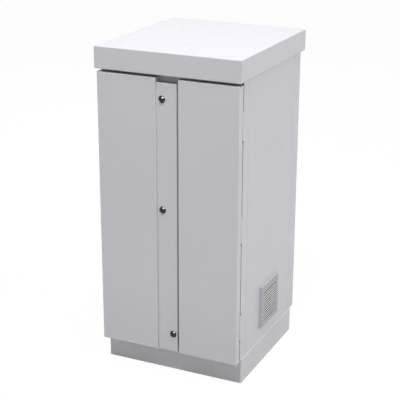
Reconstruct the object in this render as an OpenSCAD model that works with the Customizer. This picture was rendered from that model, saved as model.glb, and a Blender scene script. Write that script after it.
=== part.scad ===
// Outdoor battery cabinet: two doors on lift-off hinges, a lock strip with three quarter-turn locks
// between them, a roof cap with a deep skirt, a set-back plinth and a filter fan low on the right side.
// The origin is at the middle of the footprint, on the floor; +Y points to the back, +Z up.

/* [Body] */
// Width over the side walls and over both doors
body_w = 568; // [545:5:640]
// Depth from the front frame to the back wall
body_d = 565; // [545:5:640]
// Height of the corner posts above the plinth
body_h = 1110; // [1090:5:1250]
// Thickness of every folded sheet
sheet = 2; // [1.5:0.25:2.5]
// Outer radius of every fold
fold_r = 3; // [2.5:0.25:4]
// Width of the corner posts across the front and the back
post_w = 40; // [34:1:42]
// Depth of the front posts on the side walls
front_post_d = 51.5; // [40:0.5:60]
// Depth of the rear posts on the side walls
rear_post_d = 60; // [45:0.5:70]
// Depth of the folded lips of the front posts and side panels
post_lip = 20; // [14:1:24]
// Depth of the inner lips of the rear posts
rear_lip = 30; // [24:1:40]
// Depth of the folded lips of the rear panel
rear_panel_lip = 12; // [8:1:16]

/* [Front frame] */
// How far the top rail reaches below the top edge of the doors
header_lap = 38; // [30:1:60]
// How far the sill reaches above the bottom edge of the doors
sill_lap = 37.5; // [32:0.5:44]
// Depth of the flanges of the top rail and the centre post
rail_d = 30; // [20:1:40]
// Width of the centre post behind the gap between the doors
centre_post_w = 150; // [140:2:180]

/* [Plinth] */
// Height of the plinth
plinth_h = 100; // [60:5:200]
// Set-back of the plinth behind the front frame
plinth_front = 13.5; // [5:0.5:30]
// Set-back of the plinth from the back wall
plinth_back = 30; // [5:1:50]
// Width of the foot flange on the floor
plinth_foot = 45; // [36:1:70]
// Width of the rim under the base plate
plinth_rim = 30; // [20:1:60]
// Diameter of the anchor bolt holes
anchor_d = 14; // [10:1:18]
// Distance of the anchor holes from the outer faces of the plinth
anchor_inset = 22.5; // [15:0.5:26]
// Set-back of the base plate edges over the sides of the plinth
plinth_seam = 3; // [1:0.5:6]
// Chamfer along the top edges of the plinth
plinth_edge = 2; // [1:0.25:3]

/* [Roof] */
// Rise of the roof over the top of the corner posts
roof_rise = 52; // [40:1:80]
// Height of the roof skirt
roof_skirt = 83; // [70:1:100]
// Overhang of the roof in front of the doors
roof_front = 4.5; // [2:0.5:20]
// Overhang of the roof on each side
roof_side = 6; // [5:0.5:11]
// Overhang of the roof behind the back wall
roof_back = 31; // [10:1:60]
// Width of the hem along the bottom of the skirt
roof_hem = 3; // [2.5:0.5:3.5]
// Distance of the roof bearers from the middle
bearer_x = 170; // [100:5:220]
// Width of the top of a roof bearer
bearer_w = 46; // [30:1:60]
// Width of each foot of a roof bearer
bearer_foot = 20; // [12:1:30]

/* [Doors] */
// Depth of the door pans
door_d = 32; // [30:0.5:40]
// Gap between the doors and the front frame
door_gap = 3.5; // [3:0.25:5]
// Gap between the door tops and the roof skirt
door_top_gap = 11; // [6:0.5:20]
// How far the door bottoms hang below the top of the plinth
door_lap = 2.5; // [0:0.5:6]
// Width of the channel between the two doors
channel_w = 90; // [86:1:96]
// Width of the inward flange along the back of the doors
door_flange = 24; // [22.5:0.5:30]
// Width of the door seals
seal_w = 12; // [8:0.5:12]
// Distance of the door seals from the door edges
seal_inset = 10.5; // [10.5:0.25:11]
// Free height between a closed seal and the front frame
seal_clear = 0.3; // [0.2:0.05:0.5]
// Width of the crown of the door stiffeners
stiffener_w = 44; // [30:1:60]
// Depth of the door stiffeners
stiffener_d = 14; // [8:1:20]
// Width of each foot of the door stiffeners
stiffener_foot = 16; // [10:1:24]
// Distance of the stiffener ends from the door ends
stiffener_end = 40; // [30:1:80]

/* [Hinges] */
// Length of each hinge
hinge_len = 105; // [80:1:120]
// Height of the lowest hinge middle above the door bottom
hinge_low = 142.5; // [132:0.5:200]
// Distance of the highest hinge middle from the door top
hinge_high = 148; // [140:1:200]
// Diameter of the hinge barrels
barrel_d = 10; // [9:0.5:11]
// Diameter of the hinge pins
pin_d = 6; // [4:0.5:6.5]
// Radial running clearance of the hinge pins
pin_clear = 0.05; // [0.03:0.01:0.1]
// Thickness of the hinge leaves
leaf_t = 2.5; // [2:0.25:3]
// Reach of the hinge leaves from the pin
leaf_reach = 26; // [18:1:28]
// Free height between the two knuckles of a hinge
knuckle_gap = 0.6; // [0.4:0.1:0.9]
// Room around the barrels in the sheet
notch_room = 2.75; // [2:0.25:3.5]
// Room below the lower end of each hinge
notch_low = 7; // [4:1:10]
// Room above the upper end of each hinge
notch_high = 3; // [2:1:6]

/* [Lock strip] */
// Gap between the left door and the lock strip
strip_gap_left = 1.5; // [1.5:0.5:5]
// Gap between the lock strip and the right door
strip_gap_right = 8; // [5:0.5:10]
// Set-back of the strip face behind the door faces
strip_recess = 6; // [4:0.5:8]
// Distance of the strip top below the door tops
strip_drop = 18; // [5:1:30]
// Width of the flange that holds the strip on the centre post
strip_flange = 12; // [8:1:16]
// Diameter of the lock heads
lock_d = 27.5; // [26:0.5:32]
// Height of the lock heads over the strip
lock_dome_h = 9; // [7:0.5:10]
// Diameter of the lock barrels
lock_barrel_d = 20; // [18:0.5:22]
// Diameter of the turning lock cores
lock_core_d = 14; // [12:0.5:15]
// Radial running clearance of the lock cores
lock_clear = 0.1; // [0.05:0.01:0.15]
// Length of the lock barrels behind the strip face
lock_depth = 15; // [12:0.5:15]
// Distance of the upper lock from the door tops
lock_upper = 78; // [60:1:120]
// Height of the middle lock above the door bottoms
lock_middle = 572.5; // [400:0.5:700]
// Height of the lower lock above the door bottoms
lock_lower = 73.5; // [63:0.5:120]
// Distance of the upper and middle locks from the left edge of the strip
lock_inset_left = 21.5; // [19:0.5:22]
// Distance of the lower lock from the right edge of the strip
lock_inset_right = 18.5; // [17:0.5:20]
// Reach of the lock cams from the lock axis
cam_reach = 40; // [38:0.5:42]
// Width of the lock cams
cam_w = 14; // [12:0.5:16]
// Thickness of the lock cams
cam_t = 4; // [3:0.25:4]
// Room above, below and behind the cams in the windows they turn through
cam_room = 2; // [1.5:0.25:2.5]
// Room in front of the cams in the windows they turn through
cam_mouth = 8.5; // [6:0.5:9]

/* [Vents] */
// Side of the square vent grilles
vent_size = 174; // [166:1:190]
// How far the grilles stand out from the side panels
vent_proud = 12; // [8:0.5:16]
// Draft of the grille sides
vent_draft = 2; // [1:0.25:4]
// Height of the vent middle above the plinth
vent_z = 144; // [130:1:150]
// Distance of the vent middle in front of the middle of the side panels
vent_front = 8.5; // [0:0.5:12]
// Number of louvre slots
vent_slots = 12; // [8:1:12]
// Distance between louvre slots
slot_pitch = 10.5; // [8:0.1:10.6]
// Height of each louvre slot
slot_h = 6; // [4:0.1:6.4]
// Depth of the chamfer on the lower edge of each slot
slot_lead = 2; // [0.5:0.1:2.2]
// Width of each louvre slot
slot_w = 131; // [100:1:132]
// Rise of the slots towards the inside
slot_rise = 7; // [4:0.5:9]
// Outer side of the square spigot in the side panel
spigot_size = 140; // [139:0.5:150]
// Wall of the spigot
spigot_wall = 3; // [2:0.25:3.5]
// Length of the spigot behind the panel face
spigot_d = 20; // [14:0.5:22]
// Clearance of the spigot in its cut-out
spigot_clear = 0.3; // [0.1:0.05:0.5]
// Thickness of the filter mats
mat_t = 8; // [5:0.5:12]

/* [Fan] */
// Depth of the fan housing
fan_d = 38; // [34:1:44]
// Diameter of the air path
fan_bore = 124; // [112:1:128]
// Gap between the blade tips and the air path
fan_tip_gap = 3; // [2:0.5:6]
// Diameter of the rotor hub
fan_hub_d = 50; // [40:1:56]
// Number of blades
fan_blades = 7; // [5:1:9]
// Chord of the blades
blade_chord = 26; // [18:1:28]
// Pitch of the blades in degrees
blade_pitch = 38; // [25:1:42]
// Thickness of the blades
blade_t = 2.2; // [1.5:0.1:3]
// Diameter of the rotor shaft
shaft_d = 6; // [4:0.5:8]
// Radial running clearance of the rotor on its shaft
shaft_clear = 0.05; // [0.03:0.01:0.1]

/* [Shelves and batteries] */
// Height of the lowest shelf above the plinth
shelf_low = 50; // [48:1:54]
// Free height over the batteries of each shelf
battery_room = 70; // [50:1:80]
// Distance of the shelf front behind the front frame
shelf_front = 53; // [45:1:70]
// Distance of the shelf back from the back wall
shelf_back = 47; // [36:1:60]
// Height of the lips along the shelf front and back
shelf_lip = 15; // [8:1:20]
// Side clearance of the shelves between the posts
shelf_clear = 3.5; // [2.5:0.5:5]
// Width of the shelf rails under the shelves
rail_w = 28; // [20:1:34]
// Height of the shelf rails
rail_h = 28; // [20:1:34]
// Number of batteries on a shelf
battery_count = 4; // [3:1:4]
// Distance of the batteries from the fan housing
battery_side = 18.5; // [10:0.5:60]
// Height of a battery without its terminals
battery_h = 270; // [220:5:280]
// Gap between batteries
battery_gap = 5; // [3:1:8]
// Distance of the batteries from the shelf front
battery_front = 25; // [20:1:40]
// Distance of the batteries from the shelf back
battery_back = 45; // [30:1:120]
// Height of the battery lids
battery_lid = 45; // [30:1:60]
// Inset of the battery lids
battery_lid_inset = 1.5; // [1:0.25:3]
// Diameter of the battery terminals
terminal_d = 18; // [14:1:24]
// Height of the battery terminals
terminal_h = 6; // [4:0.5:10]
// Distance of the terminals from the battery sides
terminal_side = 22; // [16:1:26]
// Distance of the terminals from the battery front
terminal_y = 32; // [20:1:60]
// Width of the links between batteries
link_w = 20; // [14:1:24]
// Thickness of the links between batteries
link_t = 3; // [2:0.25:5]

/* [Equipment] */
// Distance of the equipment panel from the shelf ends
equipment_side = 40.5; // [28:0.5:60]
// Distance of the equipment panel top below the top rail
equipment_drop = 60; // [40:1:90]
// Depth of the equipment panel foot
equipment_foot = 45; // [30:1:60]
// Width of the main breaker
breaker_w = 105; // [90:1:140]
// Height of the main breaker
breaker_h = 150; // [120:1:160]
// Depth of the main breaker
breaker_d = 62; // [50:1:80]
// Width of the toggle slot in the main breaker
toggle_slot_w = 26; // [20:1:40]
// Height of the toggle slot in the main breaker
toggle_slot_h = 46; // [42:1:60]
// Diameter of the toggle drum
drum_d = 20; // [16:1:22]
// Diameter of the toggle trunnions
trunnion_d = 6; // [4:0.5:8]
// Length of the toggle trunnions
trunnion_l = 5; // [3:0.5:8]
// Clearance of the toggle in the breaker
toggle_clear = 0.3; // [0.2:0.05:0.5]
// Reach of the toggle lever from its axis
toggle_reach = 30; // [24:1:40]
// Width of the toggle lever
toggle_w = 12; // [8:1:18]
// Thickness of the toggle lever
toggle_t = 8; // [5:0.5:9]
// Tilt of the toggle at rest in degrees
toggle_tilt = 25; // [15:1:30]
// Distance of the bus bars from the middle
bus_x = 135; // [110:1:150]
// Width of the bus bars
bus_w = 25; // [20:1:40]
// Thickness of the bus bars
bus_t = 5; // [3:0.5:8]
// Length of the bus bars
bus_l = 170; // [140:5:190]
// Diameter of the holes in the bus bars
bus_hole_d = 9; // [6:0.5:12]
// Diameter of the bus bar insulators
insulator_d = 26; // [20:1:32]
// Length of the bus bar insulators
insulator_l = 28; // [20:1:40]

/* [Cable entry] */
// Width of the cable gland plate
gland_plate_w = 320; // [280:5:380]
// Depth of the cable gland plate
gland_plate_d = 140; // [100:5:160]
// Lap of the gland plate on the base plate
gland_lap = 18; // [12:1:24]
// Distance of the gland plate from the back wall
gland_back = 60; // [50:1:90]
// Number of cable glands
gland_count = 3; // [1:1:4]
// Distance between cable glands
gland_pitch = 75; // [60:1:80]
// Diameter of the gland bodies
gland_d = 32; // [20:1:40]
// Length of the gland bodies below the gland plate
gland_l = 24; // [16:1:36]
// Width of the gland heads across their corners
gland_head_d = 46; // [40:1:56]
// Height of the gland heads
gland_head_h = 12; // [8:1:18]

/* [Hidden] */

// Facets of a fold, and of round turned parts
fold_n = 4;
round_fn = 48;
// Overshoot of every cut
cut = 1;

// Main planes of the body
x_side = body_w / 2;
x_post = x_side - post_w;
roof_w = body_w + 2 * roof_side;
roof_d = roof_front + door_d + door_gap + body_d + roof_back;
y_door = roof_front - roof_d / 2;
y_door_rear = y_door + door_d;
y_front = y_door_rear + door_gap;
y_back = y_front + body_d;
y_panel_front = y_front + front_post_d;
y_panel_back = y_back - rear_post_d;
z_body = plinth_h;
z_floor = z_body + sheet;
z_top = z_body + body_h;
z_deck = z_top + sheet;
z_roof = z_top + roof_rise;
z_skirt = z_roof - roof_skirt;
z_door = z_body - door_lap;
z_door_top = z_skirt - door_top_gap;
z_header = z_door_top - header_lap;
z_sill = z_door + sill_lap;

// Doors
door_w = (body_w - channel_w) / 2;
door_h = z_door_top - z_door;
door_x = channel_w / 2 + door_w / 2;
door_z = z_door + door_h / 2;
seal_t = door_gap - seal_clear;

// Hinges on the right side; the left side mirrors them
hinge_x = x_side - sheet;
hinge_y = (y_door_rear + y_front) / 2;
hinge_first = z_door + hinge_low;
hinge_pitch = (door_h - hinge_low - hinge_high) / 2;
hinge_zs = [for (i = [0:2]) hinge_first + i * hinge_pitch];
pin_r = pin_d / 2;
barrel_r = barrel_d / 2;
notch_r = barrel_r + notch_room;

// Lock strip and locks
strip_x0 = strip_gap_left - channel_w / 2;
strip_x1 = channel_w / 2 - strip_gap_right;
strip_w = strip_x1 - strip_x0;
y_strip = y_door + strip_recess;
strip_d = y_front - y_strip;
strip_h = z_door_top - strip_drop - z_door;
lock_x_left = strip_x0 + lock_inset_left;
lock_x_right = strip_x1 - lock_inset_right;
upper_lock_at = [lock_x_left, z_door_top - lock_upper];
middle_lock_at = [lock_x_left, z_door + lock_middle];
lower_lock_at = [lock_x_right, z_door + lock_lower];
lock_places = [upper_lock_at, middle_lock_at, lower_lock_at];
core_r = lock_core_d / 2;
core_shoulder = lock_depth + 1;
core_sink = 1.5;
key_w = 2;
key_l = 8.4;
key_d = 4;
cam_round = cam_w / 2 - 0.1;
cam_shank_r = 4;
cam_head_r = 6;
cam_head_t = 2;
nut_t = 5;
nut_r = lock_barrel_d / 2 + 5;
y_cam = y_strip + core_shoulder;

// Vents
vent_y = (y_panel_front + y_panel_back) / 2 - vent_front;
vent_mid = z_body + vent_z;
vent_round = 1.5;
spigot_bore = spigot_size - 2 * spigot_wall;
mat_size = spigot_bore - 2 * spigot_clear;

// Fan, measured along its axis from the panel face inwards
fan_back = spigot_d + fan_d;
boss_r = fan_hub_d / 2 - 4;
boss_t = 10;
strut_w = 8;
strut_t = 5;
rotor_gap = 1.5;
rotor_t = fan_d - boss_t - 2 * rotor_gap - 2;
blade_r = fan_bore / 2 - fan_tip_gap;
blade_root = fan_hub_d / 2 - 3;

// Shelves and batteries
shelf_pitch = battery_h + battery_room;
shelf_zs = [for (i = [0:2]) z_body + shelf_low + i * shelf_pitch];
shelf_x = x_post - shelf_clear;
shelf_y0 = y_front + shelf_front;
shelf_y1 = y_back - shelf_back;
rail_y0 = y_front + 2 * sheet;
rail_y1 = y_back - rear_panel_lip - 1;
battery_l = shelf_y1 - shelf_y0 - battery_front - battery_back;
battery_row = 2 * (x_side - fan_back - battery_side);
battery_w = (battery_row - (battery_count - 1) * battery_gap) / battery_count;
battery_pitch = battery_w + battery_gap;
battery_x0 = -battery_row / 2;
terminal_x = battery_w / 2 - terminal_side;
battery_y = shelf_y0 + battery_front;
link_l = battery_pitch - 2 * terminal_x + link_w;
link_y = battery_y + terminal_y;
link_rise = battery_h + terminal_h;
link_bolt_r = 7;
link_bolt_h = 5;
shelf_slot_w = 60;
shelf_slot_d = 12;

// Equipment panel in the bay over the batteries
z_bay = shelf_zs[2];
equipment_w = 2 * (shelf_x - equipment_side);
equipment_y = (shelf_y0 + shelf_y1) / 2;
equipment_h = z_header - equipment_drop - z_bay;
equipment_z = z_bay + equipment_h / 2;
breaker_y = equipment_y - breaker_d;
drum_r = drum_d / 2;
drum_y = breaker_y + drum_r + 1;
drum_l = toggle_slot_w - 2 * toggle_clear;
toggle_slot_d = 2 * drum_r + 3;
bus_y = equipment_y - insulator_l;
insulator_z = bus_l / 2 - 30;

// Cable entry at the back of the base plate
gland_y = y_back - gland_back - gland_plate_d / 2;
gland_hole_w = gland_plate_w - 2 * gland_lap;
gland_hole_d = gland_plate_d - 2 * gland_lap;

// Colours as the photograph shows them
paint = [0.72, 0.72, 0.74];
paint_inner = [0.66, 0.66, 0.68];
zinc = [0.62, 0.64, 0.66];
dark_metal = [0.12, 0.12, 0.13];
grey_plastic = [0.55, 0.55, 0.56];
black_rubber = [0.06, 0.06, 0.06];
case_plastic = [0.16, 0.17, 0.18];
copper = [0.72, 0.42, 0.25];

function unit(v) = v / norm(v);

// Points of a corner at b between a and c, rounded to radius r
function corner(a, b, c, r) =
    r < 0.01 ? [b] :
    let (u = unit(a - b), v = unit(c - b), half = acos(u * v) / 2)
    let (mid = b + unit(u + v) * r / sin(half))
    let (p = b + u * r / tan(half) - mid, q = b + v * r / tan(half) - mid)
    let (start = atan2(p.y, p.x), sweep = atan2(cross(p, q), p * q))
    [for (i = [0:fold_n]) mid + r * [cos(start + sweep * i / fold_n), sin(start + sweep * i / fold_n)]];

// Closed outline through points [x, y] with one radius for each point
function rounded(points, radii) =
    let (n = len(points))
    [for (i = [0:n - 1])
        each corner(points[(i + n - 1) % n], points[i], points[(i + 1) % n], radii[i])];

// Rectangle from a to b with rounded corners
function round_rect(a, b, r) = rounded([a, [b.x, a.y], b, [a.x, b.y]], [r, r, r, r]);

function left_normal(a, b) = let (d = unit(b - a)) [-d.y, d.x];

// Path moved by t to its left
function moved(path, t) =
    let (last = len(path) - 1)
    [for (i = [0:last])
        let (before = left_normal(path[max(i - 1, 0)], path[max(i, 1)]))
        let (after = left_normal(path[min(i, last - 1)], path[min(i + 1, last)]))
        path[i] + t * (before + after) / (1 + before * after)];

// Fold radii along the path itself, or along its copy on the left: small on the inside of each fold
function fold_radii(path, on_left) =
    let (last = len(path) - 1)
    [for (i = [0:last])
        i == 0 || i == last ? 0 :
        let (turn = cross(path[i] - path[i - 1], path[i + 1] - path[i]))
        (turn > 0) == on_left ? fold_r - sheet : fold_r];

function reversed(list) = [for (i = [len(list) - 1:-1:0]) list[i]];

// Outline of a folded sheet that lies to the left of an open path
function folded(path) =
    rounded(
        concat(path, reversed(moved(path, sheet))),
        concat(fold_radii(path, false), reversed(fold_radii(path, true)))
    );

// Hat section that stands on a line, crown away from it
function hat(crown, height, foot) =
    let (h = crown / 2 - sheet)
    folded([
        [-h - foot, 0], [-h, 0], [-h, height - sheet],
        [h, height - sheet], [h, 0], [h + foot, 0]
    ]);

// Extrusions along the three axes of an outline drawn in the other two
module along_x(x0, x1) {
    translate([x0, 0, 0])
        rotate([90, 0, 90])
        linear_extrude(x1 - x0)
        children();
}

module along_y(y0, y1) {
    translate([0, y1, 0])
        rotate([90, 0, 0])
        linear_extrude(y1 - y0)
        children();
}

module along_z(z0, z1) {
    translate([0, 0, z0])
        linear_extrude(z1 - z0)
        children();
}

module span(a, b) {
    translate(a)
        cube(b - a);
}

module mirrored() {
    mirror([1, 0, 0])
        children();
}

// Block with its rounded face up: r rounds the upper edges and r_low the lower ones
module face_block(w, h, d, r, r_low) {
    radii = [r_low, r_low, r, r];
    intersection() {
        along_y(-h / 2, h / 2)
            polygon(rounded([[-w / 2, 0], [w / 2, 0], [w / 2, d], [-w / 2, d]], radii));
        along_x(-w / 2, w / 2)
            polygon(rounded([[-h / 2, 0], [h / 2, 0], [h / 2, d], [-h / 2, d]], radii));
    }
}

// Folded pan with its face up and a flange turned in along the open side
module pan(w, h, d, flange) {
    difference() {
        face_block(w, h, d, fold_r, fold_r);
        translate([0, 0, sheet])
            face_block(w - 2 * sheet, h - 2 * sheet, d - 2 * sheet, fold_r - sheet, fold_r - sheet);
        span([flange - w / 2, flange - h / 2, -cut], [w / 2 - flange, h / 2 - flange, d / 2]);
    }
}

// Frame of a square or oblong ring that faces the front
module ring(x0, x1, z0, z1, y0, y1, w) {
    difference() {
        span([x0, y0, z0], [x1, y1, z1]);
        span([x0 + w, y0 - cut, z0 + w], [x1 - w, y1 + cut, z1 - w]);
    }
}

// Triangle that chamfers a top edge of the plinth at distance x
module edge_cut(x) {
    far = plinth_edge + cut;
    polygon([[x - far, plinth_h + cut], [x + cut, plinth_h - far], [x + cut, plinth_h + cut]]);
}

module plinth() {
    low = [-x_side, y_front + plinth_front];
    high = [x_side, y_back - plinth_back];
    wall = [sheet, sheet];
    foot = [plinth_foot, plinth_foot];
    rim = [plinth_rim, plinth_rim];
    hole = [anchor_inset, anchor_inset];
    color(paint)
        difference() {
            along_z(0, plinth_h)
                polygon(round_rect(low, high, fold_r));
            along_z(sheet, plinth_h - sheet)
                polygon(round_rect(low + wall, high - wall, fold_r - sheet));
            along_z(-cut, plinth_h / 2)
                polygon(round_rect(low + foot, high - foot, fold_r));
            along_z(plinth_h / 2, plinth_h + cut)
                polygon(round_rect(low + rim, high - rim, fold_r));
            for (x = [low.x + hole.x, high.x - hole.x], y = [low.y + hole.y, high.y - hole.y])
                translate([x, y, -cut])
                    cylinder(d = anchor_d, h = sheet + 2 * cut, $fn = round_fn);
            along_y(low.y - cut, high.y + cut)
                edge_cut(high.x);
            along_y(low.y - cut, high.y + cut)
                mirror([1, 0])
                edge_cut(-low.x);
            along_x(low.x - cut, high.x + cut)
                edge_cut(high.y);
            along_x(low.x - cut, high.x + cut)
                mirror([1, 0])
                edge_cut(-low.y);
        }
}

module base_plate() {
    edge_w = post_w - plinth_seam;
    color(paint_inner)
        difference() {
            union() {
                along_x(-x_post, x_post)
                    polygon(folded([[y_front, z_sill], [y_front, z_body], [y_back, z_body]]));
                for (side = [-1, 1])
                    translate([side * (x_post + edge_w / 2), (y_front + y_back) / 2, z_body + sheet / 2])
                        cube([edge_w, body_d, sheet], center = true);
            }
            translate([0, gland_y, z_body])
                cube([gland_hole_w, gland_hole_d, 4 * sheet], center = true);
        }
}

module at_glands() {
    for (i = [0:gland_count - 1])
        translate([(i - (gland_count - 1) / 2) * gland_pitch, gland_y, z_floor])
            children();
}

module gland_plate() {
    color(zinc)
        difference() {
            translate([0, gland_y, z_floor + sheet / 2])
                cube([gland_plate_w, gland_plate_d, sheet], center = true);
            at_glands()
                translate([0, 0, -cut])
                cylinder(d = gland_d + 2 * spigot_clear, h = sheet + 2 * cut, $fn = round_fn);
        }
}

// Cable glands closed by blind plugs
module cable_glands() {
    color(case_plastic)
        at_glands()
        union() {
            translate([0, 0, sheet])
                cylinder(d = gland_head_d, h = gland_head_h, $fn = 6);
            translate([0, 0, -gland_l])
                cylinder(d = gland_d, h = gland_l + sheet + gland_head_h / 2, $fn = round_fn);
            translate([0, 0, sheet + gland_head_h / 2])
                cylinder(d = gland_d, h = gland_head_h, $fn = round_fn);
        }
}

// Room in the sheet around each hinge barrel on the right side
module hinge_notches() {
    for (z = hinge_zs)
        span(
            [hinge_x - notch_r, hinge_y - notch_r, z - hinge_len / 2 - notch_low],
            [x_side + cut, hinge_y + notch_r, z + hinge_len / 2 + notch_high]
        );
}

module front_post_right() {
    color(paint)
        difference() {
            along_z(z_floor, z_top)
                polygon(folded([
                    [x_post, y_front + post_lip], [x_post, y_front], [x_side, y_front],
                    [x_side, y_panel_front], [x_side - post_lip, y_panel_front]
                ]));
            hinge_notches();
        }
}

module front_post_left() {
    mirrored()
        front_post_right();
}

module rear_post_right() {
    color(paint)
        along_z(z_floor, z_top)
        polygon(folded([
            [x_side - post_lip, y_panel_back], [x_side, y_panel_back], [x_side, y_back],
            [x_post, y_back], [x_post, y_back - rear_lip]
        ]));
}

module rear_post_left() {
    mirrored()
        rear_post_right();
}

module side_panel_right() {
    hole = spigot_size / 2 + spigot_clear;
    color(paint)
        difference() {
            along_z(z_floor, z_top)
                polygon(folded([
                    [x_side - post_lip, y_panel_front], [x_side, y_panel_front],
                    [x_side, y_panel_back], [x_side - post_lip, y_panel_back]
                ]));
            span(
                [x_side - sheet - cut, vent_y - hole, vent_mid - hole],
                [x_side + cut, vent_y + hole, vent_mid + hole]
            );
        }
}

module side_panel_left() {
    mirrored()
        side_panel_right();
}

module rear_panel() {
    color(paint)
        along_z(z_floor, z_top)
        polygon(folded([
            [x_post, y_back - rear_panel_lip], [x_post, y_back],
            [-x_post, y_back], [-x_post, y_back - rear_panel_lip]
        ]));
}

module header_rail() {
    color(paint)
        along_x(-x_post, x_post)
        polygon(folded([
            [y_front + rail_d, z_top], [y_front, z_top],
            [y_front, z_header], [y_front + rail_d, z_header]
        ]));
}

module centre_post() {
    half = centre_post_w / 2;
    color(paint)
        along_z(z_sill, z_header)
        polygon(folded([
            [-half, y_front + rail_d], [-half, y_front], [half, y_front], [half, y_front + rail_d]
        ]));
}

module top_deck() {
    color(paint_inner)
        span([-x_side, y_front, z_top], [x_side, y_back, z_deck]);
}

module roof_bearers() {
    color(zinc)
        for (side = [-1, 1])
            translate([side * bearer_x, 0, z_deck])
                along_y(y_front, y_back)
                polygon(hat(bearer_w, z_roof - sheet - z_deck, bearer_foot));
}

module roof_cap() {
    color(paint)
        translate([0, 0, z_skirt])
        pan(roof_w, roof_d, roof_skirt, roof_hem);
}

// One knuckle with its leaf: way is 1 towards the back and -1 towards the front
module hinge_half(z0, z1, way) {
    difference() {
        union() {
            translate([hinge_x, hinge_y, z0])
                cylinder(r = barrel_r, h = z1 - z0, $fn = round_fn);
            span(
                [hinge_x - leaf_t, min(hinge_y, hinge_y + way * leaf_reach), z0],
                [hinge_x, max(hinge_y, hinge_y + way * leaf_reach), z1]
            );
        }
        translate([hinge_x, hinge_y, z0 - cut])
            cylinder(r = pin_r + pin_clear, h = z1 - z0 + 2 * cut, $fn = round_fn);
    }
}

module hinge_frame_leaves_right() {
    color(zinc)
        for (z = hinge_zs)
            hinge_half(z - hinge_len / 2, z - knuckle_gap / 2, 1);
}

module hinge_frame_leaves_left() {
    mirrored()
        hinge_frame_leaves_right();
}

module hinge_door_leaves_right() {
    color(zinc)
        for (z = hinge_zs)
            hinge_half(z + knuckle_gap / 2, z + hinge_len / 2, -1);
}

module hinge_door_leaves_left() {
    mirrored()
        hinge_door_leaves_right();
}

module hinge_pins_right() {
    color(zinc)
        for (z = hinge_zs)
            translate([hinge_x, hinge_y, z - hinge_len / 2])
                cylinder(r = pin_r, h = hinge_len - cut, $fn = round_fn);
}

module hinge_pins_left() {
    mirrored()
        hinge_pins_right();
}

// Lock axis pointing out of the strip face, with its origin on that face
module at_lock(place) {
    translate([place.x, y_strip, place.y])
        rotate([90, 0, 0])
        children();
}

// Slots that the cam of a lock turns through, between two side planes
module cam_window(place, x0, x1) {
    span(
        [x0, y_cam - cam_mouth, place.y - cam_reach - cam_room],
        [x1, y_cam + cam_t + cam_room, place.y + cam_w / 2 + cam_room]
    );
}

module lock_strip() {
    color(paint)
        difference() {
            translate([(strip_x0 + strip_x1) / 2, y_front, z_door + strip_h / 2])
                rotate([90, 0, 0])
                pan(strip_w, strip_h, strip_d, strip_flange);
            for (place = lock_places)
                at_lock(place)
                    translate([0, 0, -sheet - cut])
                    cylinder(d = lock_barrel_d + 2 * lock_clear, h = sheet + 2 * cut, $fn = round_fn);
            for (place = [upper_lock_at, middle_lock_at])
                cam_window(place, strip_x0 - cut, strip_x0 + sheet + cut);
            cam_window(lower_lock_at, strip_x1 - sheet - cut, strip_x1 + cut);
        }
}

module lock_housings() {
    bore = core_r + lock_clear;
    wall = lock_d / 2 - bore;
    crown = 0.8 * min(wall, lock_dome_h);
    barrel = lock_barrel_d / 2;
    rim = lock_d / 2 - crown;
    low = lock_dome_h - crown;
    color(dark_metal)
        for (place = lock_places)
            at_lock(place)
                rotate_extrude($fn = round_fn)
                polygon(concat(
                    [[bore, -lock_depth], [barrel, -lock_depth], [barrel, 0], [lock_d / 2, 0]],
                    [for (a = [0:15:90]) [rim + crown * cos(a), low + crown * sin(a)]],
                    [[bore + 1, lock_dome_h], [bore, lock_dome_h - 1]]
                ));
}

module lock_nuts() {
    color(zinc)
        for (place = lock_places)
            at_lock(place)
                translate([0, 0, -sheet - nut_t])
                difference() {
                    cylinder(r = nut_r, h = nut_t, $fn = 6);
                    translate([0, 0, -cut])
                        cylinder(d = lock_barrel_d + 2 * lock_clear, h = nut_t + 2 * cut, $fn = round_fn);
                }
}

// Turning core with its key slot, the shank for the cam and the screw that holds the cam
module lock_core(place) {
    face = lock_dome_h - core_sink;
    color(dark_metal)
        at_lock(place)
        difference() {
            union() {
                translate([0, 0, -core_shoulder])
                    cylinder(r = core_r, h = core_shoulder + face, $fn = round_fn);
                translate([0, 0, -core_shoulder - cam_t])
                    cylinder(r = cam_shank_r, h = cam_t + cut, $fn = round_fn);
                translate([0, 0, -core_shoulder - cam_t - cam_head_t])
                    cylinder(r = cam_head_r, h = cam_head_t, $fn = round_fn);
            }
            translate([-key_w / 2, -key_l / 2, face - key_d])
                cube([key_w, key_l, key_d + cut]);
        }
}

// Cam that hangs down in the strip while the lock is open
module lock_cam(place) {
    half = cam_w / 2;
    color(zinc)
        at_lock(place)
        translate([0, 0, -core_shoulder - cam_t])
        difference() {
            linear_extrude(cam_t)
                polygon(round_rect([-half, -cam_reach], [half, half], cam_round));
            translate([0, 0, -cut])
                cylinder(r = cam_shank_r + pin_clear, h = cam_t + 2 * cut, $fn = round_fn);
        }
}

module upper_lock_core() {
    lock_core(upper_lock_at);
}

module upper_lock_cam() {
    lock_cam(upper_lock_at);
}

module middle_lock_core() {
    lock_core(middle_lock_at);
}

module middle_lock_cam() {
    lock_cam(middle_lock_at);
}

module lower_lock_core() {
    lock_core(lower_lock_at);
}

module lower_lock_cam() {
    lock_cam(lower_lock_at);
}

// Door pan in the middle of its own place, on the right or the left
module door_pan(side) {
    translate([side * door_x, y_door_rear, door_z])
        rotate([90, 0, 0])
        pan(door_w, door_h, door_d, door_flange);
}

module door_panel_right() {
    edge = channel_w / 2;
    color(paint)
        difference() {
            door_pan(1);
            hinge_notches();
            cam_window(lower_lock_at, edge - cut, edge + sheet + cut);
        }
}

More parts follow.
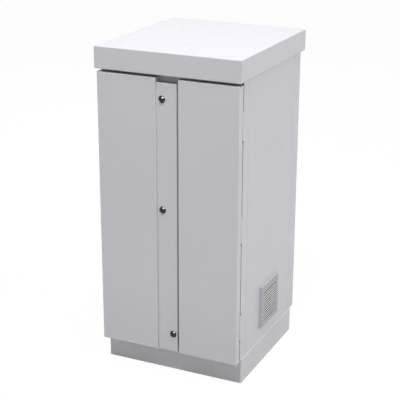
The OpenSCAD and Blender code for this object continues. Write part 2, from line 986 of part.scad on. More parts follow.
module door_panel_left() {
    edge = -channel_w / 2;
    color(paint)
        difference() {
            door_pan(-1);
            mirrored()
                hinge_notches();
            for (place = [upper_lock_at, middle_lock_at])
                cam_window(place, edge - sheet - cut, edge + cut);
        }
}

module door_stiffener_right() {
    color(zinc)
        translate([door_x, y_door + sheet, 0])
        along_z(z_door + stiffener_end, z_door_top - stiffener_end)
        polygon(hat(stiffener_w, stiffener_d, stiffener_foot));
}

module door_stiffener_left() {
    mirrored()
        door_stiffener_right();
}

module door_seal_right() {
    color(black_rubber)
        ring(
            channel_w / 2 + seal_inset, x_side - seal_inset, z_door + seal_inset, z_door_top - seal_inset,
            y_door_rear, y_door_rear + seal_t, seal_w
        );
}

module door_seal_left() {
    mirrored()
        door_seal_right();
}

// Vent axis pointing out of the right side panel, with its origin on the panel face
module at_vent() {
    translate([x_side, vent_y, vent_mid])
        rotate([90, 0, 90])
        children();
}

// Drafted square block with its small face up
module vent_block() {
    half = vent_size / 2;
    top = half - vent_draft;
    outline = rounded(
        [[-half, 0], [half, 0], [top, vent_proud], [-top, vent_proud]], [0, 0, vent_round, vent_round]
    );
    intersection() {
        along_y(-half, half)
            polygon(outline);
        along_x(-half, half)
            polygon(outline);
    }
}

// Louvre slot through the grille, from the face at y = 0 up to the inside
module louvre_slot() {
    past = slot_rise * cut / vent_proud;
    lip = slot_rise * slot_lead / vent_proud;
    along_x(-slot_w / 2, slot_w / 2)
        polygon([
            [lip - slot_lead - cut, vent_proud + cut], [slot_h - past, vent_proud + cut],
            [slot_h + slot_rise + past, -cut], [slot_rise + past, -cut], [lip, vent_proud - slot_lead]
        ]);
}

module vent_grille_right() {
    first = -((vent_slots - 1) * slot_pitch + slot_h + slot_rise) / 2;
    half = spigot_size / 2;
    inner = spigot_bore / 2;
    color(grey_plastic)
        at_vent()
        difference() {
            union() {
                vent_block();
                difference() {
                    span([-half, -half, -spigot_d], [half, half, cut]);
                    span([-inner, -inner, -spigot_d - cut], [inner, inner, 0]);
                }
            }
            for (i = [0:vent_slots - 1])
                translate([0, first + i * slot_pitch, 0])
                    louvre_slot();
        }
}

module vent_grille_left() {
    mirrored()
        vent_grille_right();
}

module filter_mat_right() {
    color([0.8, 0.8, 0.78])
        at_vent()
        span([-mat_size / 2, -mat_size / 2, -mat_t], [mat_size / 2, mat_size / 2, 0]);
}

module filter_mat_left() {
    mirrored()
        filter_mat_right();
}

// Square housing behind the spigot with the motor boss and the shaft on four struts
module fan_housing() {
    half = spigot_size / 2;
    color(case_plastic)
        at_vent()
        translate([0, 0, -fan_back])
        union() {
            difference() {
                span([-half, -half, 0], [half, half, fan_d]);
                translate([0, 0, -cut])
                    cylinder(d = fan_bore, h = fan_d + 2 * cut, $fn = round_fn);
            }
            for (a = [45:90:315])
                rotate([0, 0, a])
                    span([boss_r - 2, -strut_w / 2, 0], [fan_bore / 2 + 2, strut_w / 2, strut_t]);
            cylinder(r = boss_r, h = boss_t, $fn = round_fn);
            cylinder(d = shaft_d, h = boss_t + rotor_gap + rotor_t, $fn = round_fn);
        }
}

module fan_rotor() {
    color(dark_metal)
        at_vent()
        translate([0, 0, -fan_back + boss_t + rotor_gap])
        difference() {
            union() {
                cylinder(d = fan_hub_d, h = rotor_t, $fn = round_fn);
                for (i = [0:fan_blades - 1])
                    rotate([0, 0, i * 360 / fan_blades])
                        translate([(blade_root + blade_r) / 2, 0, rotor_t / 2])
                        rotate([blade_pitch, 0, 0])
                        cube([blade_r - blade_root, blade_chord, blade_t], center = true);
            }
            translate([0, 0, -cut])
                cylinder(r = shaft_d / 2 + shaft_clear, h = rotor_t + 2 * cut, $fn = round_fn);
        }
}

module shelf_rail(z) {
    under = z - sheet;
    along_y(rail_y0, rail_y1)
        polygon(folded([[x_post, under - rail_h], [x_post, under], [x_post - rail_w, under]]));
}

module shelf_rails() {
    color(zinc)
        for (z = shelf_zs) {
            shelf_rail(z);
            mirrored()
                shelf_rail(z);
        }
}

// Tray with a lip at the front and the back and air slots between the batteries
module shelf(z) {
    color(paint_inner)
        difference() {
            along_x(-shelf_x, shelf_x)
                polygon(folded([
                    [shelf_y0, z + shelf_lip], [shelf_y0, z - sheet],
                    [shelf_y1, z - sheet], [shelf_y1, z + shelf_lip]
                ]));
            for (x = [-1.5:1.5], y = [1:3])
                translate([x * battery_pitch, shelf_y0 + y * (shelf_y1 - shelf_y0) / 4, z])
                    cube([shelf_slot_w, shelf_slot_d, 4 * sheet], center = true);
        }
}

module shelf_lower() {
    shelf(shelf_zs[0]);
}

module shelf_middle() {
    shelf(shelf_zs[1]);
}

module shelf_upper() {
    shelf(shelf_zs[2]);
}

// One block battery with its lid and two terminals, front left corner at the origin
module battery() {
    inset = battery_lid_inset;
    case_h = battery_h - battery_lid;
    cube([battery_w, battery_l, case_h]);
    span([inset, inset, case_h - cut], [battery_w - inset, battery_l - inset, battery_h]);
    for (side = [-1, 1])
        translate([battery_w / 2 + side * terminal_x, terminal_y, battery_h - cut])
            cylinder(d = terminal_d, h = terminal_h + cut, $fn = round_fn);
}

module battery_string(z) {
    color(case_plastic)
        for (i = [0:battery_count - 1])
            translate([battery_x0 + i * battery_pitch, battery_y, z])
                union()
                battery();
}

module battery_string_lower() {
    battery_string(shelf_zs[0]);
}

module battery_string_upper() {
    battery_string(shelf_zs[1]);
}

// Bolted copper link from one battery to the next
module battery_link() {
    bolt_x = link_l / 2 - link_w / 2;
    union() {
        span([-link_l / 2, -link_w / 2, 0], [link_l / 2, link_w / 2, link_t]);
        for (side = [-1, 1])
            translate([side * bolt_x, 0, link_t / 2])
                cylinder(r = link_bolt_r, h = link_t / 2 + link_bolt_h, $fn = 6);
    }
}

module battery_links() {
    color(copper)
        for (z = [shelf_zs[0], shelf_zs[1]], i = [1:battery_count - 1])
            translate([battery_x0 + i * battery_pitch - battery_gap / 2, link_y, z + link_rise])
                battery_link();
}

module equipment_panel() {
    color(zinc)
        along_x(-equipment_w / 2, equipment_w / 2)
        polygon(folded([
            [equipment_y, z_bay + equipment_h], [equipment_y, z_bay], [equipment_y + equipment_foot, z_bay]
        ]));
}

module breaker_body() {
    slot_x = toggle_slot_w / 2;
    slot_z = toggle_slot_h / 2;
    color(case_plastic)
        difference() {
            span(
                [-breaker_w / 2, breaker_y, equipment_z - breaker_h / 2],
                [breaker_w / 2, equipment_y, equipment_z + breaker_h / 2]
            );
            span(
                [-slot_x, breaker_y - cut, equipment_z - slot_z],
                [slot_x, breaker_y + toggle_slot_d, equipment_z + slot_z]
            );
            translate([-slot_x - trunnion_l - toggle_clear, drum_y, equipment_z])
                rotate([0, 90, 0])
                cylinder(
                    d = trunnion_d + 2 * lock_clear, h = toggle_slot_w + 2 * (trunnion_l + toggle_clear),
                    $fn = round_fn
                );
        }
}

module breaker_toggle() {
    color([0.75, 0.76, 0.74])
        translate([0, drum_y, equipment_z])
        rotate([-toggle_tilt, 0, 0])
        union() {
            rotate([0, 90, 0])
                cylinder(r = drum_r, h = drum_l, center = true, $fn = round_fn);
            rotate([0, 90, 0])
                cylinder(d = trunnion_d, h = drum_l + 2 * trunnion_l, center = true, $fn = round_fn);
            span([-toggle_w / 2, -toggle_reach, -toggle_t / 2], [toggle_w / 2, 0, toggle_t / 2]);
        }
}

module at_bus_bars() {
    for (side = [-1, 1])
        translate([side * bus_x, bus_y, equipment_z])
            rotate([90, 0, 0])
            children();
}

module bus_bars() {
    color(copper)
        at_bus_bars()
        difference() {
            span([-bus_w / 2, -bus_l / 2, 0], [bus_w / 2, bus_l / 2, bus_t]);
            for (i = [-1:1])
                translate([0, i * bus_l / 6, -cut])
                    cylinder(d = bus_hole_d, h = bus_t + 2 * cut, $fn = round_fn);
        }
}

module bus_insulators() {
    color([0.55, 0.16, 0.1])
        at_bus_bars()
        for (way = [-1, 1])
            translate([0, way * insulator_z, -insulator_l])
                cylinder(d = insulator_d, h = insulator_l, $fn = round_fn);
}

plinth();
base_plate();
gland_plate();
cable_glands();
front_post_left();
front_post_right();
rear_post_left();
rear_post_right();
side_panel_left();
side_panel_right();
rear_panel();
header_rail();
centre_post();
top_deck();
roof_bearers();
roof_cap();
hinge_frame_leaves_left();
hinge_frame_leaves_right();
hinge_pins_left();
hinge_pins_right();
lock_strip();
lock_housings();
lock_nuts();
vent_grille_right();
filter_mat_right();
fan_housing();
fan_rotor();
vent_grille_left();
filter_mat_left();
shelf_rails();
shelf_lower();
shelf_middle();
shelf_upper();
battery_string_lower();
battery_string_upper();
battery_links();
equipment_panel();
breaker_body();
breaker_toggle();
bus_bars();
bus_insulators();
door_panel_left();
door_stiffener_left();
door_seal_left();
hinge_door_leaves_left();
door_panel_right();
door_stiffener_right();
door_seal_right();
hinge_door_leaves_right();
upper_lock_core();
upper_lock_cam();
middle_lock_core();
middle_lock_cam();
lower_lock_core();
lower_lock_cam();
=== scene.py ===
"""Looks of an outdoor battery cabinet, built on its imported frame.

The frame's folded sheets stay as they are and get procedural finishes. Locks, seals, filter mats, fan,
batteries, breaker, insulators and glands are replaced by finer meshes in the same places. An edge bead,
spot welds, bolts and a fan guard are added. Mesh code works in millimetres, in the frame's axes: +Y points
to the back and +Z up.
"""
import logging
import math
from abc import ABC, abstractmethod
from dataclasses import dataclass
from enum import Enum
from typing import Any, ClassVar, Iterable, Mapping, Sequence

import bmesh
import bpy
from mathutils import Matrix, Vector, noise


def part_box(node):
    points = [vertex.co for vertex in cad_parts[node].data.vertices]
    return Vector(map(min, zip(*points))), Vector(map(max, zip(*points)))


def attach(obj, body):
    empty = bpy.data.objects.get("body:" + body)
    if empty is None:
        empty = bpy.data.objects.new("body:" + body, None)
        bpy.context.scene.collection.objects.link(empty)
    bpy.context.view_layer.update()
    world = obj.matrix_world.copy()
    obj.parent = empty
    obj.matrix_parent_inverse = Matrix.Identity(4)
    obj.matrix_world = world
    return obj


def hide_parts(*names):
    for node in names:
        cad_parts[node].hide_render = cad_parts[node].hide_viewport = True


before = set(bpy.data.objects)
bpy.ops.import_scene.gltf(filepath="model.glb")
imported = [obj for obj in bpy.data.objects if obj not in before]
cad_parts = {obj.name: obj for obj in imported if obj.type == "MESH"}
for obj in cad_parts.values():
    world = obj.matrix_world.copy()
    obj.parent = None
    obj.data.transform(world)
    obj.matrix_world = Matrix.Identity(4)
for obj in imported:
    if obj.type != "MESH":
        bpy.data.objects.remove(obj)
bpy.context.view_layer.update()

LOG = logging.getLogger("cabinet")
MM = 0.001
QUARTER = math.pi / 2
SMOOTH_ANGLE = math.radians(38.0)
TIP_RADIUS = 0.02
LEAST_CORNER = 0.01
Colour = tuple[float, float, float]
Point = tuple[float, float, float]
Ring = Sequence[Point]
Profile = Sequence[tuple[float, float]]


class Body(str, Enum):
    """Moving bodies of the frame."""

    CABINET = "cabinet"
    LEFT_DOOR = "left_door"
    RIGHT_DOOR = "right_door"
    UPPER_LOCK = "upper_lock"
    MIDDLE_LOCK = "middle_lock"
    LOWER_LOCK = "lower_lock"
    FAN = "fan"
    BREAKER_LEVER = "breaker_lever"


class Slot(str, Enum):
    """Material slots of the record."""

    ZINC = "zinc"
    LOCK_METAL = "lock_metal"
    FLEECE = "filter_fleece"
    FAN = "fan_plastic"
    GLAND = "gland_plastic"
    RUBBER = "seal_rubber"
    BATTERY = "battery_case"
    COPPER = "copper"
    BREAKER = "breaker_case"
    TOGGLE = "toggle_plastic"
    INSULATOR = "insulator"


class Socket(str, Enum):
    """Kinds of group socket."""

    VALUE = "NodeSocketFloat"
    COLOUR = "NodeSocketColor"
    VECTOR = "NodeSocketVector"


class Graph:
    """A thin hand on one node tree: adds nodes, sets their sockets and joins them."""

    def __init__(self, tree: bpy.types.NodeTree) -> None:
        """Takes the tree to work on.

        Args:
            tree: A material's, world's or group's node tree.
        """
        self.tree = tree

    def feed(self, node: bpy.types.Node, socket: str | int, value: Any) -> None:
        """Links a socket to another node, or sets its value.

        Args:
            node: The node that takes the value.
            socket: Name or index of the input.
            value: An output socket to link, or a plain value.
        """
        target = node.inputs[socket]
        if isinstance(value, bpy.types.NodeSocket):
            self.tree.links.new(value, target)
        elif target.type == "RGBA" and len(value) == 3:
            target.default_value = (*value, 1.0)
        else:
            target.default_value = value

    def add(
        self, kind: str, sockets: Mapping[str | int, Any] | None = None, **settings: Any
    ) -> bpy.types.Node:
        """Adds a node.

        Args:
            kind: Blender's name of the node type.
            sockets: Values or links of its inputs.
            settings: Properties of the node itself.

        Returns:
            The new node.
        """
        node = self.tree.nodes.new(kind)
        for name, value in settings.items():
            setattr(node, name, value)
        for socket, value in (sockets or {}).items():
            self.feed(node, socket, value)
        return node

    def mix(self, factor: Any, first: Any, second: Any) -> bpy.types.NodeSocket:
        """Mixes two colours.

        Args:
            factor: Share of the second colour.
            first: First colour.
            second: Second colour.

        Returns:
            The mixed colour's socket.
        """
        node = self.add("ShaderNodeMix", data_type="RGBA")
        for index, value in ((0, factor), (6, first), (7, second)):
            self.feed(node, index, value)
        return node.outputs[2]

    def span(self, value: Any, source: tuple[Any, Any], target: tuple[Any, Any]) -> bpy.types.NodeSocket:
        """Maps one range of values to another, clamped.

        Args:
            value: The value to map.
            source: Its range.
            target: The range it is mapped to.

        Returns:
            The mapped value's socket.
        """
        names = ("Value", "From Min", "From Max", "To Min", "To Max")
        return self.add(
            "ShaderNodeMapRange", dict(zip(names, (value, *source, *target)))
        ).outputs["Result"]

    def maths(self, operation: str, *values: Any) -> bpy.types.NodeSocket:
        """Adds a sum, product or other operation.

        Args:
            operation: Blender's name of it.
            values: Its operands.

        Returns:
            The result's socket.
        """
        return self.add("ShaderNodeMath", dict(enumerate(values)), operation=operation).outputs[0]

    def vector(self, operation: str, *values: Any) -> bpy.types.NodeSocket:
        """Adds an operation on vectors.

        Args:
            operation: Blender's name of it.
            values: Its operands.

        Returns:
            The result's socket.
        """
        return self.add("ShaderNodeVectorMath", dict(enumerate(values)), operation=operation).outputs[0]

    def split(self, vector: Any) -> Sequence[bpy.types.NodeSocket]:
        """Takes a vector apart.

        Args:
            vector: The vector.

        Returns:
            The sockets of its X, Y and Z.
        """
        return self.add("ShaderNodeSeparateXYZ", {0: vector}).outputs

    def noise(
        self, vector: Any, scale: Any, detail: float = 3.0, roughness: float = 0.5
    ) -> bpy.types.NodeSocket:
        """Adds a noise texture.

        Args:
            vector: Its coordinates.
            scale: Features per metre.
            detail: Octaves.
            roughness: Weight of the fine octaves.

        Returns:
            The noise value's socket.
        """
        sockets = {"Vector": vector, "Scale": scale, "Detail": detail, "Roughness": roughness}
        return self.add("ShaderNodeTexNoise", sockets).outputs[0]

    def place(self) -> bpy.types.NodeSocket:
        """Adds the object's own coordinates, in metres.

        Returns:
            The coordinates' socket.
        """
        return self.add("ShaderNodeTexCoord").outputs["Object"]


class Effect(ABC):
    """A shared texture as one node group, made on first use."""

    NAME: ClassVar[str]
    INPUTS: ClassVar[Mapping[str, Socket]]
    OUTPUTS: ClassVar[Mapping[str, Socket]]

    @classmethod
    def tree(cls) -> bpy.types.NodeTree:
        """Gives the group, and builds it the first time.

        Returns:
            The node group.
        """
        if cls.NAME in bpy.data.node_groups:
            return bpy.data.node_groups[cls.NAME]
        tree = bpy.data.node_groups.new(cls.NAME, "ShaderNodeTree")
        for way, sockets in (("INPUT", cls.INPUTS), ("OUTPUT", cls.OUTPUTS)):
            for name, kind in sockets.items():
                tree.interface.new_socket(name, in_out=way, socket_type=kind.value)
        graph = Graph(tree)
        source = graph.add("NodeGroupInput")
        graph.add("NodeGroupOutput", cls.wire(graph, source.outputs))
        return tree

    @classmethod
    @abstractmethod
    def wire(cls, graph: Graph, given: Any) -> dict[str, bpy.types.NodeSocket]:
        """Builds the inside of the group.

        Args:
            graph: The group's graph.
            given: The group's inputs, by name.

        Returns:
            The sockets of the outputs, by name.
        """

    @classmethod
    def use(cls, graph: Graph, **sockets: Any) -> Any:
        """Puts the group into a material.

        Args:
            graph: The material's graph.
            sockets: Values of its inputs.

        Returns:
            The group node's outputs, by name.
        """
        node = graph.add("ShaderNodeGroup", node_tree=cls.tree())
        for name, value in sockets.items():
            graph.feed(node, name, value)
        return node.outputs


class Cloud(Effect):
    """Slow drift between two colours, and of the gloss with it."""

    NAME = "cloud"
    INPUTS = {
        "Base": Socket.COLOUR, "Shade": Socket.COLOUR, "Scale": Socket.VALUE,
        "Low": Socket.VALUE, "High": Socket.VALUE,
    }
    OUTPUTS = {"Colour": Socket.COLOUR, "Roughness": Socket.VALUE}

    @classmethod
    def wire(cls, graph: Graph, given: Any) -> dict[str, bpy.types.NodeSocket]:
        """See Effect.wire."""
        spot = graph.place()
        drift = graph.span(graph.noise(spot, given["Scale"], 4.0, 0.55), (0.3, 0.7), (0.0, 1.0))
        fine = graph.noise(spot, graph.maths("MULTIPLY", given["Scale"], 9.0), 2.0)
        return {
            "Colour": graph.mix(drift, given["Base"], given["Shade"]),
            "Roughness": graph.span(fine, (0.3, 0.7), (given["Low"], given["High"])),
        }


class Grain(Effect):
    """Fine pebbled relief, as of sprayed powder or a spark-eroded mould."""

    NAME = "grain"
    INPUTS = {"Scale": Socket.VALUE}
    OUTPUTS = {"Height": Socket.VALUE}

    @classmethod
    def wire(cls, graph: Graph, given: Any) -> dict[str, bpy.types.NodeSocket]:
        """See Effect.wire."""
        spot = graph.place()
        coarse = graph.noise(spot, given["Scale"], 2.0)
        fine = graph.noise(spot, graph.maths("MULTIPLY", given["Scale"], 3.1), 1.0)
        return {"Height": graph.maths("MULTIPLY_ADD", fine, 0.35, coarse)}


class Streak(Effect):
    """Rolling or brushing marks along one direction."""

    NAME = "streak"
    INPUTS = {"Stretch": Socket.VECTOR, "Low": Socket.VALUE, "High": Socket.VALUE}
    OUTPUTS = {"Value": Socket.VALUE, "Roughness": Socket.VALUE}

    @classmethod
    def wire(cls, graph: Graph, given: Any) -> dict[str, bpy.types.NodeSocket]:
        """See Effect.wire."""
        marks = graph.noise(graph.vector("MULTIPLY", graph.place(), given["Stretch"]), 1.0, 5.0, 0.65)
        return {"Value": marks, "Roughness": graph.span(marks, (0.3, 0.7), (given["Low"], given["High"]))}


class Spangle(Effect):
    """Crystal flowers of hot-dip zinc."""

    NAME = "spangle"
    INPUTS = {"Base": Socket.COLOUR, "Shade": Socket.COLOUR, "Scale": Socket.VALUE}
    OUTPUTS = {"Colour": Socket.COLOUR, "Value": Socket.VALUE}
    WAVES: ClassVar[float] = 60.0
    SHIFT: ClassVar[Point] = (0.006, 0.006, 0.006)

    @classmethod
    def wire(cls, graph: Graph, given: Any) -> dict[str, bpy.types.NodeSocket]:
        """See Effect.wire."""
        spot = graph.place()
        waves = graph.add("ShaderNodeTexNoise", {"Vector": spot, "Scale": cls.WAVES, "Detail": 2.0})
        shifted = graph.vector("MULTIPLY_ADD", waves.outputs["Color"], cls.SHIFT, spot)
        cells = graph.add("ShaderNodeTexVoronoi", {"Vector": shifted, "Scale": given["Scale"]})
        value = graph.add("ShaderNodeSeparateColor", {0: cells.outputs["Color"]}).outputs[0]
        return {"Colour": graph.mix(value, given["Base"], given["Shade"]), "Value": value}


class Dust(Effect):
    """Thin dust that has splashed up from the ground in patches."""

    NAME = "dust"
    INPUTS = {"Clean": Socket.COLOUR, "Soil": Socket.COLOUR, "Reach": Socket.VALUE, "Amount": Socket.VALUE}
    OUTPUTS = {"Colour": Socket.COLOUR}
    PATCHES: ClassVar[float] = 35.0
    THINNEST: ClassVar[float] = 0.45

    @classmethod
    def wire(cls, graph: Graph, given: Any) -> dict[str, bpy.types.NodeSocket]:
        """See Effect.wire."""
        spot = graph.place()
        low = graph.span(graph.split(spot)[2], (given["Reach"], 0.0), (0.0, 1.0))
        patch = graph.span(graph.noise(spot, cls.PATCHES, 5.0, 0.6), (0.3, 0.75), (cls.THINNEST, 1.0))
        mask = graph.maths("MULTIPLY", graph.maths("MULTIPLY", low, patch), given["Amount"])
        return {"Colour": graph.mix(mask, given["Clean"], given["Soil"])}


class Crevice(Effect):
    """Painted shade in seams and narrow gaps: the colour darkens towards Deep where ambient occlusion finds
    little open room.
    """

    NAME = "crevice"
    INPUTS = {"Open": Socket.COLOUR, "Deep": Socket.COLOUR, "Width": Socket.VALUE}
    OUTPUTS = {"Colour": Socket.COLOUR}
    OPEN_ROOM: ClassVar[float] = 0.6
    SHADED_ROOM: ClassVar[float] = 0.2

    @classmethod
    def wire(cls, graph: Graph, given: Any) -> dict[str, bpy.types.NodeSocket]:
        """See Effect.wire."""
        # painted shade: ambient occlusion darkens the colour in seams and gaps
        room = graph.add("ShaderNodeAmbientOcclusion", {"Distance": given["Width"]}, samples=8)
        mask = graph.span(room.outputs["AO"], (cls.OPEN_ROOM, cls.SHADED_ROOM), (0.0, 1.0))
        return {"Colour": graph.mix(mask, given["Open"], given["Deep"])}


class Recess(Effect):
    """Painted highlight on the slats of a louvred field, and painted shade deep behind them."""

    NAME = "recess"
    INPUTS = {
        "Open": Socket.COLOUR, "Slat": Socket.COLOUR, "Deep": Socket.COLOUR, "Face": Socket.VALUE,
        "Middle": Socket.VECTOR, "Half": Socket.VECTOR,
    }
    OUTPUTS = {"Colour": Socket.COLOUR}
    LIT_DEPTH: ClassVar[float] = 0.0004
    SHADED_DEPTH: ClassVar[float] = 0.0009

    @classmethod
    def wire(cls, graph: Graph, given: Any) -> dict[str, bpy.types.NodeSocket]:
        """See Effect.wire."""
        reach = graph.vector("ABSOLUTE", graph.vector("SUBTRACT", graph.place(), given["Middle"]))
        _, side, end = graph.split(graph.vector("SUBTRACT", given["Half"], reach))
        inside = graph.maths("GREATER_THAN", graph.maths("MINIMUM", side, end), 0.0)
        depth = graph.maths("SUBTRACT", given["Face"], graph.split(reach)[0])
        # painted shade: the colour darkens with depth behind the grille's face
        slot_shade_mask = graph.span(depth, (cls.LIT_DEPTH, cls.SHADED_DEPTH), (0.0, 1.0))
        slat_highlight = graph.mix(inside, given["Open"], given["Slat"])
        return {"Colour": graph.mix(graph.maths("MULTIPLY", inside, slot_shade_mask), slat_highlight, given["Deep"])}


class Fibre(Effect):
    """Loose crossing fibres of a filter fleece."""

    NAME = "fibre"
    INPUTS = {"Base": Socket.COLOUR, "Shade": Socket.COLOUR}
    OUTPUTS = {"Colour": Socket.COLOUR, "Height": Socket.VALUE}
    LAYERS: ClassVar[Mapping[float, Point]] = {
        0.5: (300.0, 1500.0, 300.0), 1.7: (300.0, 300.0, 1500.0), 2.6: (300.0, 1200.0, 700.0),
    }

    @classmethod
    def wire(cls, graph: Graph, given: Any) -> dict[str, bpy.types.NodeSocket]:
        """See Effect.wire."""
        spot = graph.place()
        layers = []
        for angle, stretch in cls.LAYERS.items():
            turned = graph.add(
                "ShaderNodeVectorRotate", {"Vector": spot, "Angle": angle}, rotation_type="X_AXIS"
            ).outputs[0]
            layers.append(graph.noise(graph.vector("MULTIPLY", turned, stretch), 1.0, 3.0, 0.6))
        height = graph.maths("MAXIMUM", graph.maths("MAXIMUM", layers[0], layers[1]), layers[2])
        value = graph.span(height, (0.45, 0.75), (0.0, 1.0))
        return {"Colour": graph.mix(value, given["Shade"], given["Base"]), "Height": height}


@dataclass(frozen=True)
class Finish(ABC):
    """One procedural surface.

    Attributes:
        name: Name of the material.
        colour: Main colour, linear.
        shade: Colour that it drifts to, linear.
        low: Least roughness.
        high: Most roughness.
        relief: Bump strength.
        depth: Depth of the relief, in metres.
    """

    name: str
    colour: Colour
    shade: Colour
    low: float = 0.35
    high: float = 0.5
    relief: float = 0.1
    depth: float = 0.0005

    def material(self) -> bpy.types.Material:
        """Gives the material, and builds it the first time.

        Returns:
            The material.
        """
        if self.name in bpy.data.materials:
            return bpy.data.materials[self.name]
        material = bpy.data.materials.new(self.name)
        material.use_nodes = True
        material.diffuse_color = (*self.colour, 1.0)
        graph = Graph(material.node_tree)
        self.wire(graph, material.node_tree.nodes["Principled BSDF"])
        return material

    def bump(self, graph: Graph, shader: bpy.types.Node, height: Any) -> None:
        """Feeds a relief into the shader.

        Args:
            graph: The material's graph.
            shader: Its shader.
            height: The relief's socket.
        """
        node = graph.add(
            "ShaderNodeBump", {"Strength": self.relief, "Distance": self.depth, "Height": height}
        )
        graph.feed(shader, "Normal", node.outputs[0])

    @staticmethod
    def cover(graph: Graph, shader: bpy.types.Node, mask: Any, colour: Colour) -> None:
        """Lays a colour over the one that the shader has.

        Args:
            graph: The material's graph.
            shader: Its shader.
            mask: Share of the new colour.
            colour: The new colour.
        """
        under = shader.inputs["Base Color"].links[0].from_socket
        graph.feed(shader, "Base Color", graph.mix(mask, under, colour))

    def cloud(self, graph: Graph, scale: float) -> Any:
        """Adds the drift of the finish's colours and gloss.

        Args:
            graph: The material's graph.
            scale: Drifts per metre.

        Returns:
            The outputs Colour and Roughness, by name.
        """
        return Cloud.use(
            graph, Base=self.colour, Shade=self.shade, Scale=scale, Low=self.low, High=self.high
        )

    @abstractmethod
    def wire(self, graph: Graph, shader: bpy.types.Node) -> None:
        """Builds the material's nodes.

        Args:
            graph: The material's graph.
            shader: Its shader.
        """


@dataclass(frozen=True)
class PowderCoat(Finish):
    """Sprayed and baked powder paint with a fine orange peel, dust near the ground and painted shade in its
    seams.

    Attributes:
        soil: Colour of the dust near the ground.
        seam_shade: Colour painted as shade deep in the seams and gaps.
        reach: Height that the dust reaches, in metres.
        amount: Most cover of the dust.
        peel: Orange-peel cells per metre.
        drift: Drifts of the colour per metre.
        seam: Reach of the painted seam shade from the seams, in metres.
    """

    soil: Colour = (0.4, 0.385, 0.37)
    seam_shade: Colour = (0.1, 0.095, 0.1)
    reach: float = 0.35
    amount: float = 0.4
    peel: float = 620.0
    drift: float = 2.6
    seam: float = 0.006
    depth: float = 0.0006

    def wire(self, graph: Graph, shader: bpy.types.Node) -> None:
        """See Finish.wire."""
        cloud = self.cloud(graph, self.drift)
        dust = Dust.use(graph, Clean=cloud["Colour"], Soil=self.soil, Reach=self.reach, Amount=self.amount)
        # painted shade in the seams, over the dust
        seams = Crevice.use(graph, Open=dust["Colour"], Deep=self.seam_shade, Width=self.seam)
        graph.feed(shader, "Base Color", seams["Colour"])
        graph.feed(shader, "Roughness", cloud["Roughness"])
        self.bump(graph, shader, Grain.use(graph, Scale=self.peel)["Height"])


@dataclass(frozen=True)
class EdgeHighlit(PowderCoat):
    """Powder paint with a painted highlight along its upper edge, where a ledge would catch the light.

    Attributes:
        edge_highlight: Colour of the painted highlight on the edge.
        edge: Height from which the highlight is painted, in metres.
        fade: Height over which the coat changes, in metres.
    """

    edge_highlight: Colour = (0.9, 0.89, 0.92)
    edge: float = 0.0978
    fade: float = 0.0004

    def wire(self, graph: Graph, shader: bpy.types.Node) -> None:
        """See Finish.wire."""
        super().wire(graph, shader)
        # painted highlight: the coat above the edge height is lightened
        height = graph.split(graph.place())[2]
        highlit = graph.span(height, (self.edge, self.edge + self.fade), (0.0, 1.0))
        self.cover(graph, shader, highlit, self.edge_highlight)


@dataclass(frozen=True)
class GapShaded(PowderCoat):
    """Powder paint with a dark band painted along the front edges that the doors close against, as shade in
    the slits behind the doors.

    Attributes:
        gap_shade: Colour of the painted shade band.
        front: Place along Y that the band reaches back to, in metres.
        inner: Distance of the band from the cabinet's middle, in metres.
        fade: Distance over which the coat changes, in metres.
    """

    gap_shade: Colour = (0.03, 0.03, 0.032)
    front: float = -0.2774
    inner: float = 0.274
    fade: float = 0.0003

    def wire(self, graph: Graph, shader: bpy.types.Node) -> None:
        """See Finish.wire."""
        super().wire(graph, shader)
        # painted shade: a dark band on the front edges of the posts
        x, y, _ = graph.split(graph.place())
        ahead = graph.span(y, (self.front + self.fade, self.front), (0.0, 1.0))
        out = graph.span(graph.maths("ABSOLUTE", x), (self.inner, self.inner + self.fade), (0.0, 1.0))
        self.cover(graph, shader, graph.maths("MULTIPLY", ahead, out), self.gap_shade)


@dataclass(frozen=True)
class Moulded(Finish):
    """Moulded plastic or rubber with an eroded grain.

    Attributes:
        grain: Grain cells per metre.
        gloss: Specular level.
        drift: Drifts of the colour per metre.
    """

    grain: float = 900.0
    gloss: float = 0.5
    drift: float = 14.0

    def wire(self, graph: Graph, shader: bpy.types.Node) -> None:
        """See Finish.wire."""
        cloud = self.cloud(graph, self.drift)
        graph.feed(shader, "Base Color", cloud["Colour"])
        graph.feed(shader, "Roughness", cloud["Roughness"])
        graph.feed(shader, "Specular IOR Level", self.gloss)
        self.bump(graph, shader, Grain.use(graph, Scale=self.grain)["Height"])


@dataclass(frozen=True)
class Louvred(Moulded):
    """Moulded plastic of a louvred grille, with a painted highlight on its slats and painted shade in its
    slots.

    Attributes:
        slat_highlight: Colour of the slats, painted lighter as a highlight where they catch the light from
            above.
        slot_shade: Colour painted as shade deep in the slots.
        face: Distance of the grille's face from the cabinet's middle, in metres.
        middle: Middle of the field of slots, in metres.
        half: Half the size of the field, in metres.
    """

    slat_highlight: Colour = (0.74, 0.74, 0.75)
    slot_shade: Colour = (0.012, 0.012, 0.013)
    face: float = 0.296
    middle: Point = (0.0, -0.00825, 0.2405)
    half: Point = (1.0, 0.0656, 0.0616)

    def wire(self, graph: Graph, shader: bpy.types.Node) -> None:
        """See Finish.wire."""
        super().wire(graph, shader)
        clean = shader.inputs["Base Color"].links[0].from_socket
        slots = Recess.use(
            graph, Open=clean, Slat=self.slat_highlight, Deep=self.slot_shade, Face=self.face,
            Middle=self.middle, Half=self.half,
        )
        graph.feed(shader, "Base Color", slots["Colour"])


